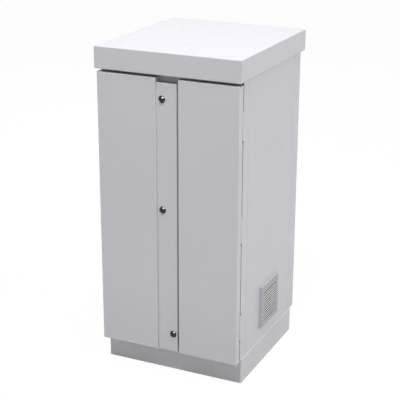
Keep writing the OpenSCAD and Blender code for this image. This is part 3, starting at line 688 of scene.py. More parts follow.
@dataclass(frozen=True)
class Galvanised(Finish):
    """Hot-dip zinc on rolled sheet.

    Attributes:
        scale: Spangles per metre.
        marks: Rolling marks per metre along each axis.
    """

    scale: float = 110.0
    marks: Point = (30.0, 30.0, 900.0)
    depth: float = 0.0003

    def wire(self, graph: Graph, shader: bpy.types.Node) -> None:
        """See Finish.wire."""
        flower = Spangle.use(graph, Base=self.colour, Shade=self.shade, Scale=self.scale)
        marks = Streak.use(graph, Stretch=self.marks, Low=self.low, High=self.high)
        graph.feed(shader, "Base Color", flower["Colour"])
        graph.feed(shader, "Roughness", marks["Roughness"])
        graph.feed(shader, "Metallic", 1.0)
        self.bump(graph, shader, graph.maths("ADD", flower["Value"], marks["Value"]))


@dataclass(frozen=True)
class Drawn(Finish):
    """Bare or plated metal with fine marks along one direction.

    Attributes:
        stretch: Marks per metre along each axis.
        drift: Drifts of the colour per metre.
    """

    stretch: Point = (900.0, 900.0, 30.0)
    drift: float = 22.0
    depth: float = 0.0002

    def wire(self, graph: Graph, shader: bpy.types.Node) -> None:
        """See Finish.wire."""
        marks = Streak.use(graph, Stretch=self.stretch, Low=self.low, High=self.high)
        graph.feed(shader, "Base Color", self.cloud(graph, self.drift)["Colour"])
        graph.feed(shader, "Roughness", marks["Roughness"])
        graph.feed(shader, "Metallic", 1.0)
        self.bump(graph, shader, marks["Value"])


@dataclass(frozen=True)
class Fleece(Finish):
    """Filter fleece of loose fibres.

    Attributes:
        sheen: Weight of the soft sheen.
    """

    sheen: float = 0.3
    depth: float = 0.002

    def wire(self, graph: Graph, shader: bpy.types.Node) -> None:
        """See Finish.wire."""
        fibre = Fibre.use(graph, Base=self.colour, Shade=self.shade)
        graph.feed(shader, "Base Color", fibre["Colour"])
        graph.feed(shader, "Roughness", self.high)
        graph.feed(shader, "Sheen Weight", self.sheen)
        self.bump(graph, shader, fibre["Height"])


PALE_GREY = ((0.6, 0.59, 0.63), (0.585, 0.575, 0.615), 0.36, 0.46, 0.06)
PAINT = PowderCoat("light_grey_powder_coat", *PALE_GREY)
# painted highlight along the plinth's upper edge
PLINTH_PAINT = EdgeHighlit("plinth_powder_coat", *PALE_GREY)
# lighter painted seam shade, so the slits next to the strip show paler
STRIP_PAINT = PowderCoat("strip_powder_coat", *PALE_GREY, seam_shade=(0.34, 0.33, 0.35))
# painted shade in the slit between the doors and the posts
POST_PAINT = GapShaded("post_powder_coat", *PALE_GREY)
# lighter painted seam shade, so the hinges show pale in the slits
HINGE_PAINT = PowderCoat("hinge_powder_coat", *PALE_GREY, seam_shade=(0.3, 0.295, 0.31))
INNER_PAINT = PowderCoat("inner_powder_coat", (0.56, 0.56, 0.58), (0.54, 0.54, 0.56), 0.38, 0.5, 0.06)
ZINC = Galvanised("galvanised_sheet", (0.6, 0.61, 0.63), (0.46, 0.47, 0.49), 0.3, 0.48, 0.05)
PLATED = Drawn("zinc_plated_steel", (0.62, 0.62, 0.64), (0.52, 0.52, 0.55), 0.22, 0.36, 0.03)
LOCK = Drawn("black_chrome", (0.055, 0.055, 0.058), (0.042, 0.042, 0.045), 0.06, 0.12, 0.01)
# painted highlight on the slats and painted shade in the slots
GRILLE = Louvred("grille_moulding", (0.39, 0.385, 0.4), (0.37, 0.365, 0.38), 0.42, 0.55, 0.06)
FLEECE = Fleece("fibre_mat", (0.3, 0.3, 0.29), (0.1, 0.1, 0.1), 0.8, 0.9, 0.5)
FAN = Moulded("fan_moulding", (0.03, 0.03, 0.032), (0.024, 0.024, 0.026), 0.4, 0.55, 0.1)
BEAD = Moulded("pale_edge_rubber", (0.72, 0.71, 0.74), (0.68, 0.67, 0.7), 0.5, 0.6, 0.08)
GLAND = Moulded("gland_polyamide", (0.05, 0.05, 0.053), (0.04, 0.04, 0.042), 0.35, 0.5, 0.08)
RUBBER = Moulded(
    "rubber_profile", (0.025, 0.025, 0.026), (0.018, 0.018, 0.018), 0.6, 0.75, 0.15, grain=1500.0, gloss=0.35
)
BATTERY = Moulded("battery_box", (0.075, 0.08, 0.085), (0.06, 0.064, 0.07), 0.45, 0.58, 0.14)
BATTERY_LID = Moulded("battery_lid", (0.16, 0.17, 0.18), (0.14, 0.15, 0.16), 0.42, 0.55, 0.12)
PLUS = Moulded("red_polarity_plastic", (0.5, 0.03, 0.02), (0.4, 0.025, 0.018), 0.35, 0.45, 0.06)
MINUS = Moulded("black_polarity_plastic", (0.02, 0.02, 0.022), (0.015, 0.015, 0.016), 0.35, 0.45, 0.06)
LEAD = Drawn("terminal_lead", (0.34, 0.34, 0.36), (0.25, 0.25, 0.27), 0.35, 0.55, 0.08)
COPPER = Drawn("copper_bar", (0.82, 0.43, 0.28), (0.66, 0.31, 0.19), 0.24, 0.4, 0.05)
BREAKER = Moulded("breaker_moulding", (0.045, 0.047, 0.05), (0.036, 0.038, 0.04), 0.36, 0.5, 0.08)
TOGGLE = Moulded("toggle_moulding", (0.62, 0.62, 0.58), (0.58, 0.58, 0.54), 0.3, 0.42, 0.05)
INSULATOR = Moulded(
    "insulator_resin", (0.3, 0.055, 0.03), (0.24, 0.042, 0.024), 0.16, 0.26, 0.03, grain=300.0
)

NODE_FINISHES: Mapping[Finish, Sequence[str]] = {
    PLINTH_PAINT: ("plinth",),
    PAINT: (
        "rear_post_left", "rear_post_right", "side_panel_left", "side_panel_right", "rear_panel",
        "header_rail", "centre_post", "roof_cap", "door_panel_right",
    ),
    POST_PAINT: ("front_post_left", "front_post_right"),
    STRIP_PAINT: ("lock_strip", "door_panel_left"),
    HINGE_PAINT: (
        "hinge_frame_leaves_left", "hinge_frame_leaves_right",
        "hinge_door_leaves_left", "hinge_door_leaves_right",
    ),
    INNER_PAINT: ("shelf_lower", "shelf_middle", "shelf_upper"),
    ZINC: (
        "base_plate", "gland_plate", "top_deck", "roof_bearers", "shelf_rails", "equipment_panel",
        "door_stiffener_left", "door_stiffener_right",
    ),
    PLATED: (
        "hinge_pins_left", "hinge_pins_right", "lock_nuts",
        "upper_lock_cam", "middle_lock_cam", "lower_lock_cam",
    ),
    GRILLE: ("vent_grille_left", "vent_grille_right"),
    FAN: ("fan_housing",),
    COPPER: ("bus_bars",),
}


def at(x: float, y: float, z: float) -> Matrix:
    """Gives a plain move, in millimetres.

    Args:
        x: Move along X.
        y: Move along Y.
        z: Move along Z.

    Returns:
        The move's matrix.
    """
    return Matrix.Translation((x, y, z))


def turn(angle: float, axis: str) -> Matrix:
    """Gives a turn about an axis through the origin.

    Args:
        angle: Angle in degrees.
        axis: X, Y or Z.

    Returns:
        The turn's matrix.
    """
    return Matrix.Rotation(math.radians(angle), 4, axis)


MIRROR = Matrix.Scale(-1.0, 4, (1.0, 0.0, 0.0))
TO_FRONT = turn(90.0, "X")
TO_BACK = turn(-90.0, "X")


def circle(radius: float, z: float, steps: int = 48) -> list[Point]:
    """Gives a ring of points round Z.

    Args:
        radius: Radius of the ring.
        z: Its height.
        steps: Number of points.

    Returns:
        The points.
    """
    return [
        (radius * math.cos(2 * math.pi * i / steps), radius * math.sin(2 * math.pi * i / steps), z)
        for i in range(steps)
    ]


def hexagon(corner: float, z: float, steps: int = 48) -> list[Point]:
    """Gives a ring of points on a hexagon.

    Args:
        corner: Distance of the corners from the middle.
        z: Height of the ring.
        steps: Number of points, a multiple of six.

    Returns:
        The points.
    """
    flat = corner * math.cos(math.pi / 6)
    points = []
    for x, y, height in circle(1.0, z, steps):
        angle = math.atan2(y, x) % (math.pi / 3) - math.pi / 6
        points.append((x * flat / math.cos(angle), y * flat / math.cos(angle), height))
    return points


def oblong(size: tuple[float, float], radius: float, z: float, steps: int = 5) -> list[Point]:
    """Gives a rounded rectangle round Z.

    Args:
        size: Its width and length.
        radius: Radius of its corners.
        z: Its height.
        steps: Points on each corner.

    Returns:
        The points.
    """
    radius = max(radius, LEAST_CORNER)
    inner = (size[0] / 2 - radius, size[1] / 2 - radius)
    points = []
    for quarter, (sx, sy) in enumerate(((1, 1), (-1, 1), (-1, -1), (1, -1))):
        for i in range(steps):
            angle = QUARTER * (quarter + i / (steps - 1))
            x = sx * inner[0] + radius * math.cos(angle)
            points.append((x, sy * inner[1] + radius * math.sin(angle), z))
    return points


class Forge:
    """Gathers closed mesh forms, in millimetres, and makes them one piece."""

    def __init__(self, *finishes: Finish) -> None:
        """Starts an empty piece.

        Args:
            finishes: Its finishes; a form takes one by its number.
        """
        self.finishes = finishes
        self.mesh = bmesh.new()

    def loft(
        self, rings: Sequence[Ring], place: Matrix = Matrix.Identity(4), finish: int = 0, wrap: bool = False
    ) -> None:
        """Skins a row of equal rings.

        Args:
            rings: The rings, each with the same number of points.
            place: Where the form goes.
            finish: Number of its finish.
            wrap: Joins the last ring to the first, instead of closing both ends.
        """
        rows = [[self.mesh.verts.new(place @ Vector(point)) for point in ring] for ring in rings]
        faces = []
        for low, high in zip(rows, rows[1:] + rows[:1] if wrap else rows[1:]):
            for i, corner in enumerate(low):
                j = (i + 1) % len(low)
                faces.append(self.mesh.faces.new((corner, low[j], high[j], high[i])))
        if not wrap:
            faces.append(self.mesh.faces.new(rows[0][::-1]))
            faces.append(self.mesh.faces.new(rows[-1]))
        for face in faces:
            face.material_index = finish
            face.smooth = True

    def lathe(
        self, profile: Profile, place: Matrix, finish: int = 0, steps: int = 48, wrap: bool = False
    ) -> None:
        """Turns a profile round Z.

        Args:
            profile: Radius and height of each ring, from one end to the other.
            place: Where the form goes.
            finish: Number of its finish.
            steps: Points on each ring.
            wrap: The profile is closed, as of a washer.
        """
        self.loft([circle(max(r, TIP_RADIUS), z, steps) for r, z in profile], place, finish, wrap)

    def slab(
        self, size: Point, place: Matrix, finish: int = 0, corner: float = 2.0, edge: float = 1.0
    ) -> None:
        """Adds a block with rounded corners and edges, standing on Z 0.

        Args:
            size: Its size along X, Y and Z.
            place: Where the form goes.
            finish: Number of its finish.
            corner: Radius of the upright corners.
            edge: Radius of the edges round its top and bottom.
        """
        arc = [(edge * (1 - math.sin(a)), edge * (1 - math.cos(a))) for a in (0.0, 0.52, 1.05, QUARTER)]
        levels = [*arc, *((inset, size[2] - z) for inset, z in reversed(arc))]
        self.loft(
            [oblong((size[0] - 2 * i, size[1] - 2 * i), corner - i, z) for i, z in levels], place, finish
        )

    def bolt(self, place: Matrix, corner: float = 6.0, height: float = 4.5, finish: int = 0) -> None:
        """Adds a hexagon head on a washer.

        Args:
            place: Where it goes; its axis is Z.
            corner: Distance of the corners from the middle.
            height: Height of the head over the washer.
            finish: Number of its finish.
        """
        washer, foot = corner * 1.35, 1.4
        self.lathe([(washer - 0.4, 0.0), (washer, 0.4), (washer, 1.0), (washer - 0.3, foot)], place, finish)
        top = foot + height
        self.loft(
            [
                hexagon(corner, foot), hexagon(corner, top - 0.7),
                circle(corner * 0.87, top), circle(corner * 0.5, top - 0.3),
            ],
            place, finish,
        )

    def screw(self, place: Matrix, radius: float = 4.0, finish: int = 0) -> None:
        """Adds a round head with a hexagon socket.

        Args:
            place: Where it goes; its axis is Z.
            radius: Radius of the head.
            finish: Number of its finish.
        """
        crown = ((1.0, 0.0), (1.0, 0.25), (0.86, 0.55), (0.66, 0.66))
        socket = ((0.5, 0.66), (0.48, 0.2))
        rings = [circle(radius * r, radius * z) for r, z in crown]
        self.loft([*rings, *(hexagon(radius * r, radius * z) for r, z in socket)], place, finish)

    def tube(
        self, path: Sequence[Point], radius: float, place: Matrix, finish: int = 0, steps: int = 8
    ) -> None:
        """Adds a round wire along a path.

        Args:
            path: Points of the path; one that ends where it starts is closed.
            radius: Radius of the wire.
            place: Where the form goes.
            finish: Number of its finish.
            steps: Points round the wire.
        """
        points = [Vector(p) for p in path]
        closed = (points[0] - points[-1]).length < 0.001
        if closed:
            points.pop()
        rings = []
        for i, point in enumerate(points):
            ahead = points[(i + 1) % len(points)] if closed or i + 1 < len(points) else point
            back = points[i - 1] if closed or i else point
            along = (ahead - back).normalized()
            side = along.cross(Vector((0.0, 0.0, 1.0))).normalized()
            up = side.cross(along)
            rings.append([
                tuple(point + radius * (math.cos(a) * side + math.sin(a) * up))
                for a in (2 * math.pi * k / steps for k in range(steps))
            ])
        self.loft(rings, place, finish, wrap=closed)

    def piece(self, name: str, body: Body, slot: Slot, nodes: Iterable[str] = ()) -> bpy.types.Object:
        """Makes the object and hands it to the frame.

        Args:
            name: Name of the piece.
            body: Body that it rides on.
            slot: Record slot of its finish; not used.
            nodes: CAD nodes that it stands for.

        Returns:
            The object.
        """
        bmesh.ops.recalc_face_normals(self.mesh, faces=self.mesh.faces)
        bmesh.ops.scale(self.mesh, vec=(MM, MM, MM), verts=self.mesh.verts)
        for edge in self.mesh.edges:
            edge.smooth = edge.calc_face_angle(0.0) < SMOOTH_ANGLE
        data = bpy.data.meshes.new(name)
        self.mesh.to_mesh(data)
        self.mesh.free()
        for finish in self.finishes:
            data.materials.append(finish.material())
        obj = bpy.data.objects.new(name, data)
        bpy.context.scene.collection.objects.link(obj)
        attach(obj, body.value)
        if nodes:
            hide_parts(*nodes)
        LOG.info("%s: %d faces on %s", name, len(data.polygons), body.value)
        return obj


class Assembly(ABC):
    """A group of pieces that belong together."""

    @abstractmethod
    def build(self) -> None:
        """Makes the pieces."""


@dataclass
class Sheetwork(Assembly):
    """The frame's own sheets, which stay and are dressed.

    Attributes:
        finishes: Names of the nodes that get each finish.
    """

    finishes: Mapping[Finish, Sequence[str]]

    def build(self) -> None:
        """Puts the finish of each node into all its material slots."""
        for finish, names in self.finishes.items():
            for name in names:
                self.dress(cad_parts[name], finish)

    def dress(self, obj: bpy.types.Object, finish: Finish) -> None:
        """Puts one finish into an object's slots.

        Args:
            obj: The frame's object.
            finish: Its finish.
        """
        for slot in obj.material_slots:
            slot.material = finish.material()
        LOG.info("%s: %s", obj.name, finish.name)


@dataclass
class Locks(Assembly):
    """Three quarter-turn locks in the strip between the doors.

    Attributes:
        face: Y of the strip's face.
        radius: Radius of the heads.
        dome: Height of the heads.
        depth: Length of the barrels behind the face.
        barrel: Radius of the barrels.
        core: Radius of the turning cores.
        play: Room round the cores.
        sunk: Distance of the cores' faces below the heads' tops.
        neck: Radius of the cores' ends in the cams.
        cap: Radius of the screws that hold the cams.
        cam: Thickness of the cams.
    """

    face: float = -307.5
    radius: float = 13.75
    dome: float = 9.0
    depth: float = 15.0
    barrel: float = 10.0
    core: float = 7.0
    play: float = 0.1
    sunk: float = 2.6
    neck: float = 4.0
    cap: float = 6.0
    cam: float = 4.0

    DOME_STEPS: ClassVar[int] = 14
    PLACES: ClassVar[Mapping[Body, tuple[float, float]]] = {
        Body.UPPER_LOCK: (-22.0, 1090.0), Body.MIDDLE_LOCK: (-22.0, 670.0), Body.LOWER_LOCK: (18.5, 171.0),
    }

    def place(self, body: Body) -> Matrix:
        """Gives the middle of a lock on the strip, with Z to the front.

        Args:
            body: The lock's body.

        Returns:
            Its matrix.
        """
        x, z = self.PLACES[body]
        return at(x, self.face, z) @ TO_FRONT

    def build(self) -> None:
        """Makes the heads and the cores."""
        heads = Forge(LOCK)
        for body in self.PLACES:
            self.head(heads, self.place(body))
            self.plug(body)
        heads.piece("lock_heads", Body.CABINET, Slot.LOCK_METAL, ["lock_housings"])

    def head(self, forge: Forge, place: Matrix) -> None:
        """Adds one head: barrel, rounded bezel and the dish round the core.

        Args:
            forge: The piece that it goes into.
            place: Its place.
        """
        bore, low = self.core + self.play, -self.depth
        profile = [(bore, low), (self.barrel, low), (self.barrel, 0.0), (self.radius - 0.3, 0.0)]
        ball = (self.radius ** 2 + self.dome ** 2) / (2 * self.dome)
        for i in range(self.DOME_STEPS + 1):
            radius = self.radius - i / self.DOME_STEPS * (self.radius - bore - 0.6)
            profile.append((radius, self.dome - ball + math.sqrt(ball ** 2 - radius ** 2)))
        profile += [(bore + 0.2, profile[-1][1] - 0.3), (bore, profile[-1][1] - 0.7)]
        forge.lathe(profile, place, steps=64, wrap=True)

    def plug(self, body: Body) -> None:
        """Makes one turning core with its key slot and cam screw.

        Args:
            body: The lock's body.
        """
        forge = Forge(LOCK)
        place = self.place(body)
        face, shoulder = self.dome - self.sunk, -self.depth - 1.0
        end = shoulder - self.cam
        shape = (
            (self.cap - 0.5, end - 2.0), (self.cap, end - 1.6), (self.cap, end), (self.neck, end),
            (self.neck, shoulder), (self.core, shoulder), (self.core, face - 0.5), (self.core - 0.5, face),
        )
        key_slot = [oblong((2.8, 9.2), 1.3, face, 13)]
        key_slot += [oblong((2.0, 8.4), 0.9, z, 13) for z in (face - 0.3, face - 4.0)]
        rings = [circle(r, z, len(key_slot[0])) for r, z in shape]
        forge.loft([*rings, *(self.aligned(ring) for ring in key_slot)], place)
        name = body.value
        forge.piece(f"{name}_plug", body, Slot.LOCK_METAL, [f"{name}_core"])

    @staticmethod
    def aligned(ring: Ring) -> list[Point]:
        """Turns a ring's start to the point next to +X, so that lofts to it don't twist.

        Args:
            ring: The ring.

        Returns:
            The same points from another start.
        """
        start = min(range(len(ring)), key=lambda i: abs(math.atan2(ring[i][1], ring[i][0])))
        return [*ring[start:], *ring[:start]]


@dataclass
class EdgeBead(Assembly):
    """Pale rubber bead on the strip's left edge, which closes the slit next to the left door.

    Attributes:
        inset: Distance of the bead behind the strip's face.
        depth: Depth of the bead.
        play: Room between the bead and the door.
        end: Distance of its ends from the strip's.
    """

    inset: float = 1.2
    depth: float = 5.0
    play: float = 0.1
    end: float = 4.0

    def build(self) -> None:
        """Makes the bead."""
        low, high = (tuple(v / MM for v in corner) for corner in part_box("lock_strip"))
        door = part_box("door_panel_left")[1][0] / MM
        width = low[0] - door - self.play
        length = high[2] - low[2] - 2 * self.end
        forge = Forge(BEAD)
        place = at(low[0] - width / 2, low[1] + self.inset + self.depth / 2, low[2] + self.end)
        forge.slab((width, self.depth, length), place, 0, 0.4, 0.3)
        forge.piece("strip_edge_bead", Body.CABINET, Slot.RUBBER)


@dataclass
class DoorTrim(Assembly):
    """Seal and spot welds of one door.

    Attributes:
        side: Body of the door.
        inner: X of the seal's edge next to the middle.
        outer: X of the seal's edge next to the hinges.
        low: Z of the seal's lower edge.
        high: Z of the seal's upper edge.
        rear: Y of the back of the door.
        corner: Radius of the seal's corners.
        weld_x: X of the stiffener's middle.
        weld_y: Y of the stiffener's feet.
        weld_z: Z of the lowest welds.
        weld_pitch: Distance between welds.
        weld_count: Welds on each foot.
        foot: Distance of the feet from the stiffener's middle.
    """

    side: Body
    inner: float = 55.5
    outer: float = 273.5
    low: float = 108.0
    high: float = 1157.5
    rear: float = -281.5
    corner: float = 14.0
    weld_x: float = 164.5
    weld_y: float = -309.5
    weld_z: float = 168.0
    weld_pitch: float = 62.2
    weld_count: int = 16
    foot: float = 30.0

    WELD: ClassVar[Profile] = ((4.0, -0.1), (3.9, 0.12), (3.4, 0.3), (2.6, 0.1), (0.0, 0.05))
    SECTION: ClassVar[Profile] = (
        (0.0, 0.0), (0.0, 0.9), (0.5, 1.3), (2.2, 1.3), (3.0, 2.2), (4.4, 3.0), (6.0, 3.2),
        (7.6, 3.0), (9.0, 2.2), (9.8, 1.3), (11.5, 1.3), (12.0, 0.9), (12.0, 0.0),
    )

    def build(self) -> None:
        """Makes the seal and the welds."""
        left = self.side is Body.LEFT_DOOR
        hand = "left" if left else "right"
        flip = MIRROR if left else Matrix.Identity(4)
        self.seal(hand, flip)
        self.welds(hand, flip)

    def seal(self, hand: str, flip: Matrix) -> None:
        """Makes the bulb seal round the back of the door.

        Args:
            hand: left or right.
            flip: Mirror of the left door.
        """
        width, height = self.outer - self.inner, self.high - self.low
        place = flip @ at((self.inner + self.outer) / 2, self.rear, (self.low + self.high) / 2) @ TO_BACK
        forge = Forge(RUBBER)
        rings = [oblong((width - 2 * i, height - 2 * i), self.corner - i, z, 9) for i, z in self.SECTION]
        forge.loft(rings, place, wrap=True)
        forge.piece(f"{hand}_door_bulb_seal", self.side, Slot.RUBBER, [f"door_seal_{hand}"])

    def welds(self, hand: str, flip: Matrix) -> None:
        """Makes the spot welds along the feet of the stiffener.

        Args:
            hand: left or right.
            flip: Mirror of the left door.
        """
        forge = Forge(ZINC)
        for x in (self.weld_x - self.foot, self.weld_x + self.foot):
            for i in range(self.weld_count):
                place = flip @ at(x, self.weld_y, self.weld_z + self.weld_pitch * i) @ TO_BACK
                forge.lathe(self.WELD, place, steps=20)
        forge.piece(f"{hand}_stiffener_welds", self.side, Slot.ZINC)


@dataclass
class Vents(Assembly):
    """Filter mats of both grilles, and the fan behind the right one.

    Attributes:
        x: X of the side panels' faces.
        y: Middle of the vents along Y.
        z: Middle of the vents along Z.
        back: Distance of the fan's inner face from the panel face.
        base: Distance of the rotor from the fan's inner face.
        depth: Length of the rotor's hub.
        bore: Radius of the rotor's bore.
        hub: Radius of the rotor's hub.
        tip: Radius of the blade tips.
        blades: Number of blades.
        wire: Radius of the guard's wires.
        gap: Distance of the guard's rings from the fan's inner face.
        screws: Distance of the guard's screws from the middle, along both axes.
    """

    x: float = 284.0
    y: float = -8.25
    z: float = 244.0
    back: float = 58.0
    base: float = 11.5
    depth: float = 23.0
    bore: float = 3.05
    hub: float = 25.0
    tip: float = 59.0
    blades: int = 7
    wire: float = 0.9
    gap: float = 1.1
    screws: float = 62.0

    MAT_POINTS: ClassVar[int] = 41
    BLADE_SECTIONS: ClassVar[int] = 8
    BLADE_POINTS: ClassVar[int] = 20
    GUARD_RINGS: ClassVar[Sequence[float]] = (18.0, 29.0, 40.0, 51.0, 61.0)
    GUARD_SPOKE: ClassVar[Sequence[tuple[float, float]]] = (
        (17.0, -1.7), (35.0, -1.7), (52.0, -1.7), (62.0, -1.7), (66.0, -0.4), (68.0, 0.1),
    )

    @property
    def place(self) -> Matrix:
        """Gives the middle of the right vent on the panel face, with Z to the outside.

        Returns:
            Its matrix.
        """
        return at(self.x, self.y, self.z) @ turn(90.0, "Z") @ TO_FRONT

    def build(self) -> None:
        """Makes the mats, the rotor and its guard."""
        self.mat("right", Matrix.Identity(4))
        self.mat("left", MIRROR)
        self.rotor()
        self.guard()

    def mat(self, hand: str, flip: Matrix) -> None:
        """Makes one filter mat: a soft pad, crowned and uneven on both faces.

        Args:
            hand: left or right.
            flip: Mirror of the left side.
        """
        low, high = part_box(f"filter_mat_{hand}")
        half, thick, steps = (high[1] - low[1]) / MM / 2, (high[0] - low[0]) / MM, self.MAT_POINTS
        forge = Forge(FLEECE)

        def level(u: float, v: float, side: float) -> Point:
            """Gives a point of one face.

            Args:
                u: Place across the mat, from -1 to 1.
                v: Place up the mat, from -1 to 1.
                side: -1 for the inner face, 1 for the outer one.

            Returns:
                The point.
            """
            crown = (1 - u ** 6) * (1 - v ** 6)
            coarse = noise.noise(Vector((u * 9, v * 9, side * 3)))
            fine = noise.noise(Vector((u * 31, v * 31, side)))
            depth = thick / 2 - 1.6 + 1.2 * crown + 0.35 * (0.5 * coarse + 0.3 * fine)
            return (u * half, v * half, -thick / 2 + side * depth)

        spread = [-1 + 2 * i / (steps - 1) for i in range(steps)]
        place = flip @ self.place
        grids = {
            side: [[forge.mesh.verts.new(place @ Vector(level(u, v, side))) for u in spread] for v in spread]
            for side in (-1.0, 1.0)
        }
        rims = {}
        for side, grid in grids.items():
            for low_row, high_row in zip(grid, grid[1:]):
                for i in range(steps - 1):
                    forge.mesh.faces.new((low_row[i], low_row[i + 1], high_row[i + 1], high_row[i]))
            rims[side] = [
                *grid[0], *(row[-1] for row in grid[1:]),
                *grid[-1][-2::-1], *(row[0] for row in grid[-2:0:-1]),
            ]
        for i, corner in enumerate(rims[-1.0]):
            j = (i + 1) % len(rims[-1.0])
            forge.mesh.faces.new((corner, rims[-1.0][j], rims[1.0][j], rims[1.0][i]))
        for face in forge.mesh.faces:
            face.smooth = True
        pad = forge.piece(f"{hand}_filter_pad", Body.CABINET, Slot.FLEECE, [f"filter_mat_{hand}"])

    def rotor(self) -> None:
        """Makes the rotor: a capped hub and twisted blades."""
        forge = Forge(FAN)
        place = self.place @ at(0, 0, self.base - self.back)
        hub = [
            (self.bore, 0.0), (self.hub - 1.0, 0.0), (self.hub, 1.0), (self.hub, self.depth - 3.0),
            (self.hub - 1.0, self.depth - 1.0), (self.hub - 3.0, self.depth), (self.bore, self.depth),
        ]
        forge.lathe(hub, place, wrap=True)
        rings = [self.blade(i / self.BLADE_SECTIONS) for i in range(self.BLADE_SECTIONS + 1)]
        for i in range(self.blades):
            forge.loft(rings, place @ turn(360.0 * i / self.blades, "Z") @ at(0, 0, self.depth / 2))
        forge.piece("fan_wheel", Body.FAN, Slot.FAN, ["fan_rotor"])

    def blade(self, share: float) -> list[Point]:
        """Gives one section of a blade.

        Args:
            share: Place of the section, from 0 at the hub to 1 at the tip.

        Returns:
            The section's ring.
        """
        radius = self.hub - 1.5 + share * (self.tip - self.hub + 1.5)
        pitch, chord = math.radians(42.0 - 8.0 * share), 24.0 + 3.0 * share
        ring = []
        for k in range(self.BLADE_POINTS):
            angle = 2 * math.pi * k / self.BLADE_POINTS
            run, thick = chord / 2 * math.cos(angle), 1.1 * math.sin(angle)
            thick += 1.6 * (1 - (2 * run / chord) ** 2) - 0.8
            across = run * math.cos(pitch) - thick * math.sin(pitch)
            lift = run * math.sin(pitch) + thick * math.cos(pitch)
            reach = math.sqrt(max(radius ** 2 - across ** 2, 1.0))
            ring.append((reach, across, lift))
        return ring

    def guard(self) -> None:
        """Makes the finger guard on the fan's inner face."""
        forge = Forge(PLATED)
        place = self.place @ at(0, 0, -self.back - self.gap)
        for radius in self.GUARD_RINGS:
            forge.tube([*circle(radius, 0.0, 72), (radius, 0.0, 0.0)], self.wire, place)
        for angle in (0.0, 90.0, 180.0, 270.0):
            spoke = [(radius, 0.0, z) for radius, z in self.GUARD_SPOKE]
            forge.tube(spoke, self.wire, place @ turn(angle, "Z"))
        for x in (-self.screws, self.screws):
            for y in (-self.screws, self.screws):
                forge.screw(place @ at(x, y, self.gap) @ turn(180.0, "X"), 4.2)
        forge.piece("fan_guard", Body.CABINET, Slot.ZINC)


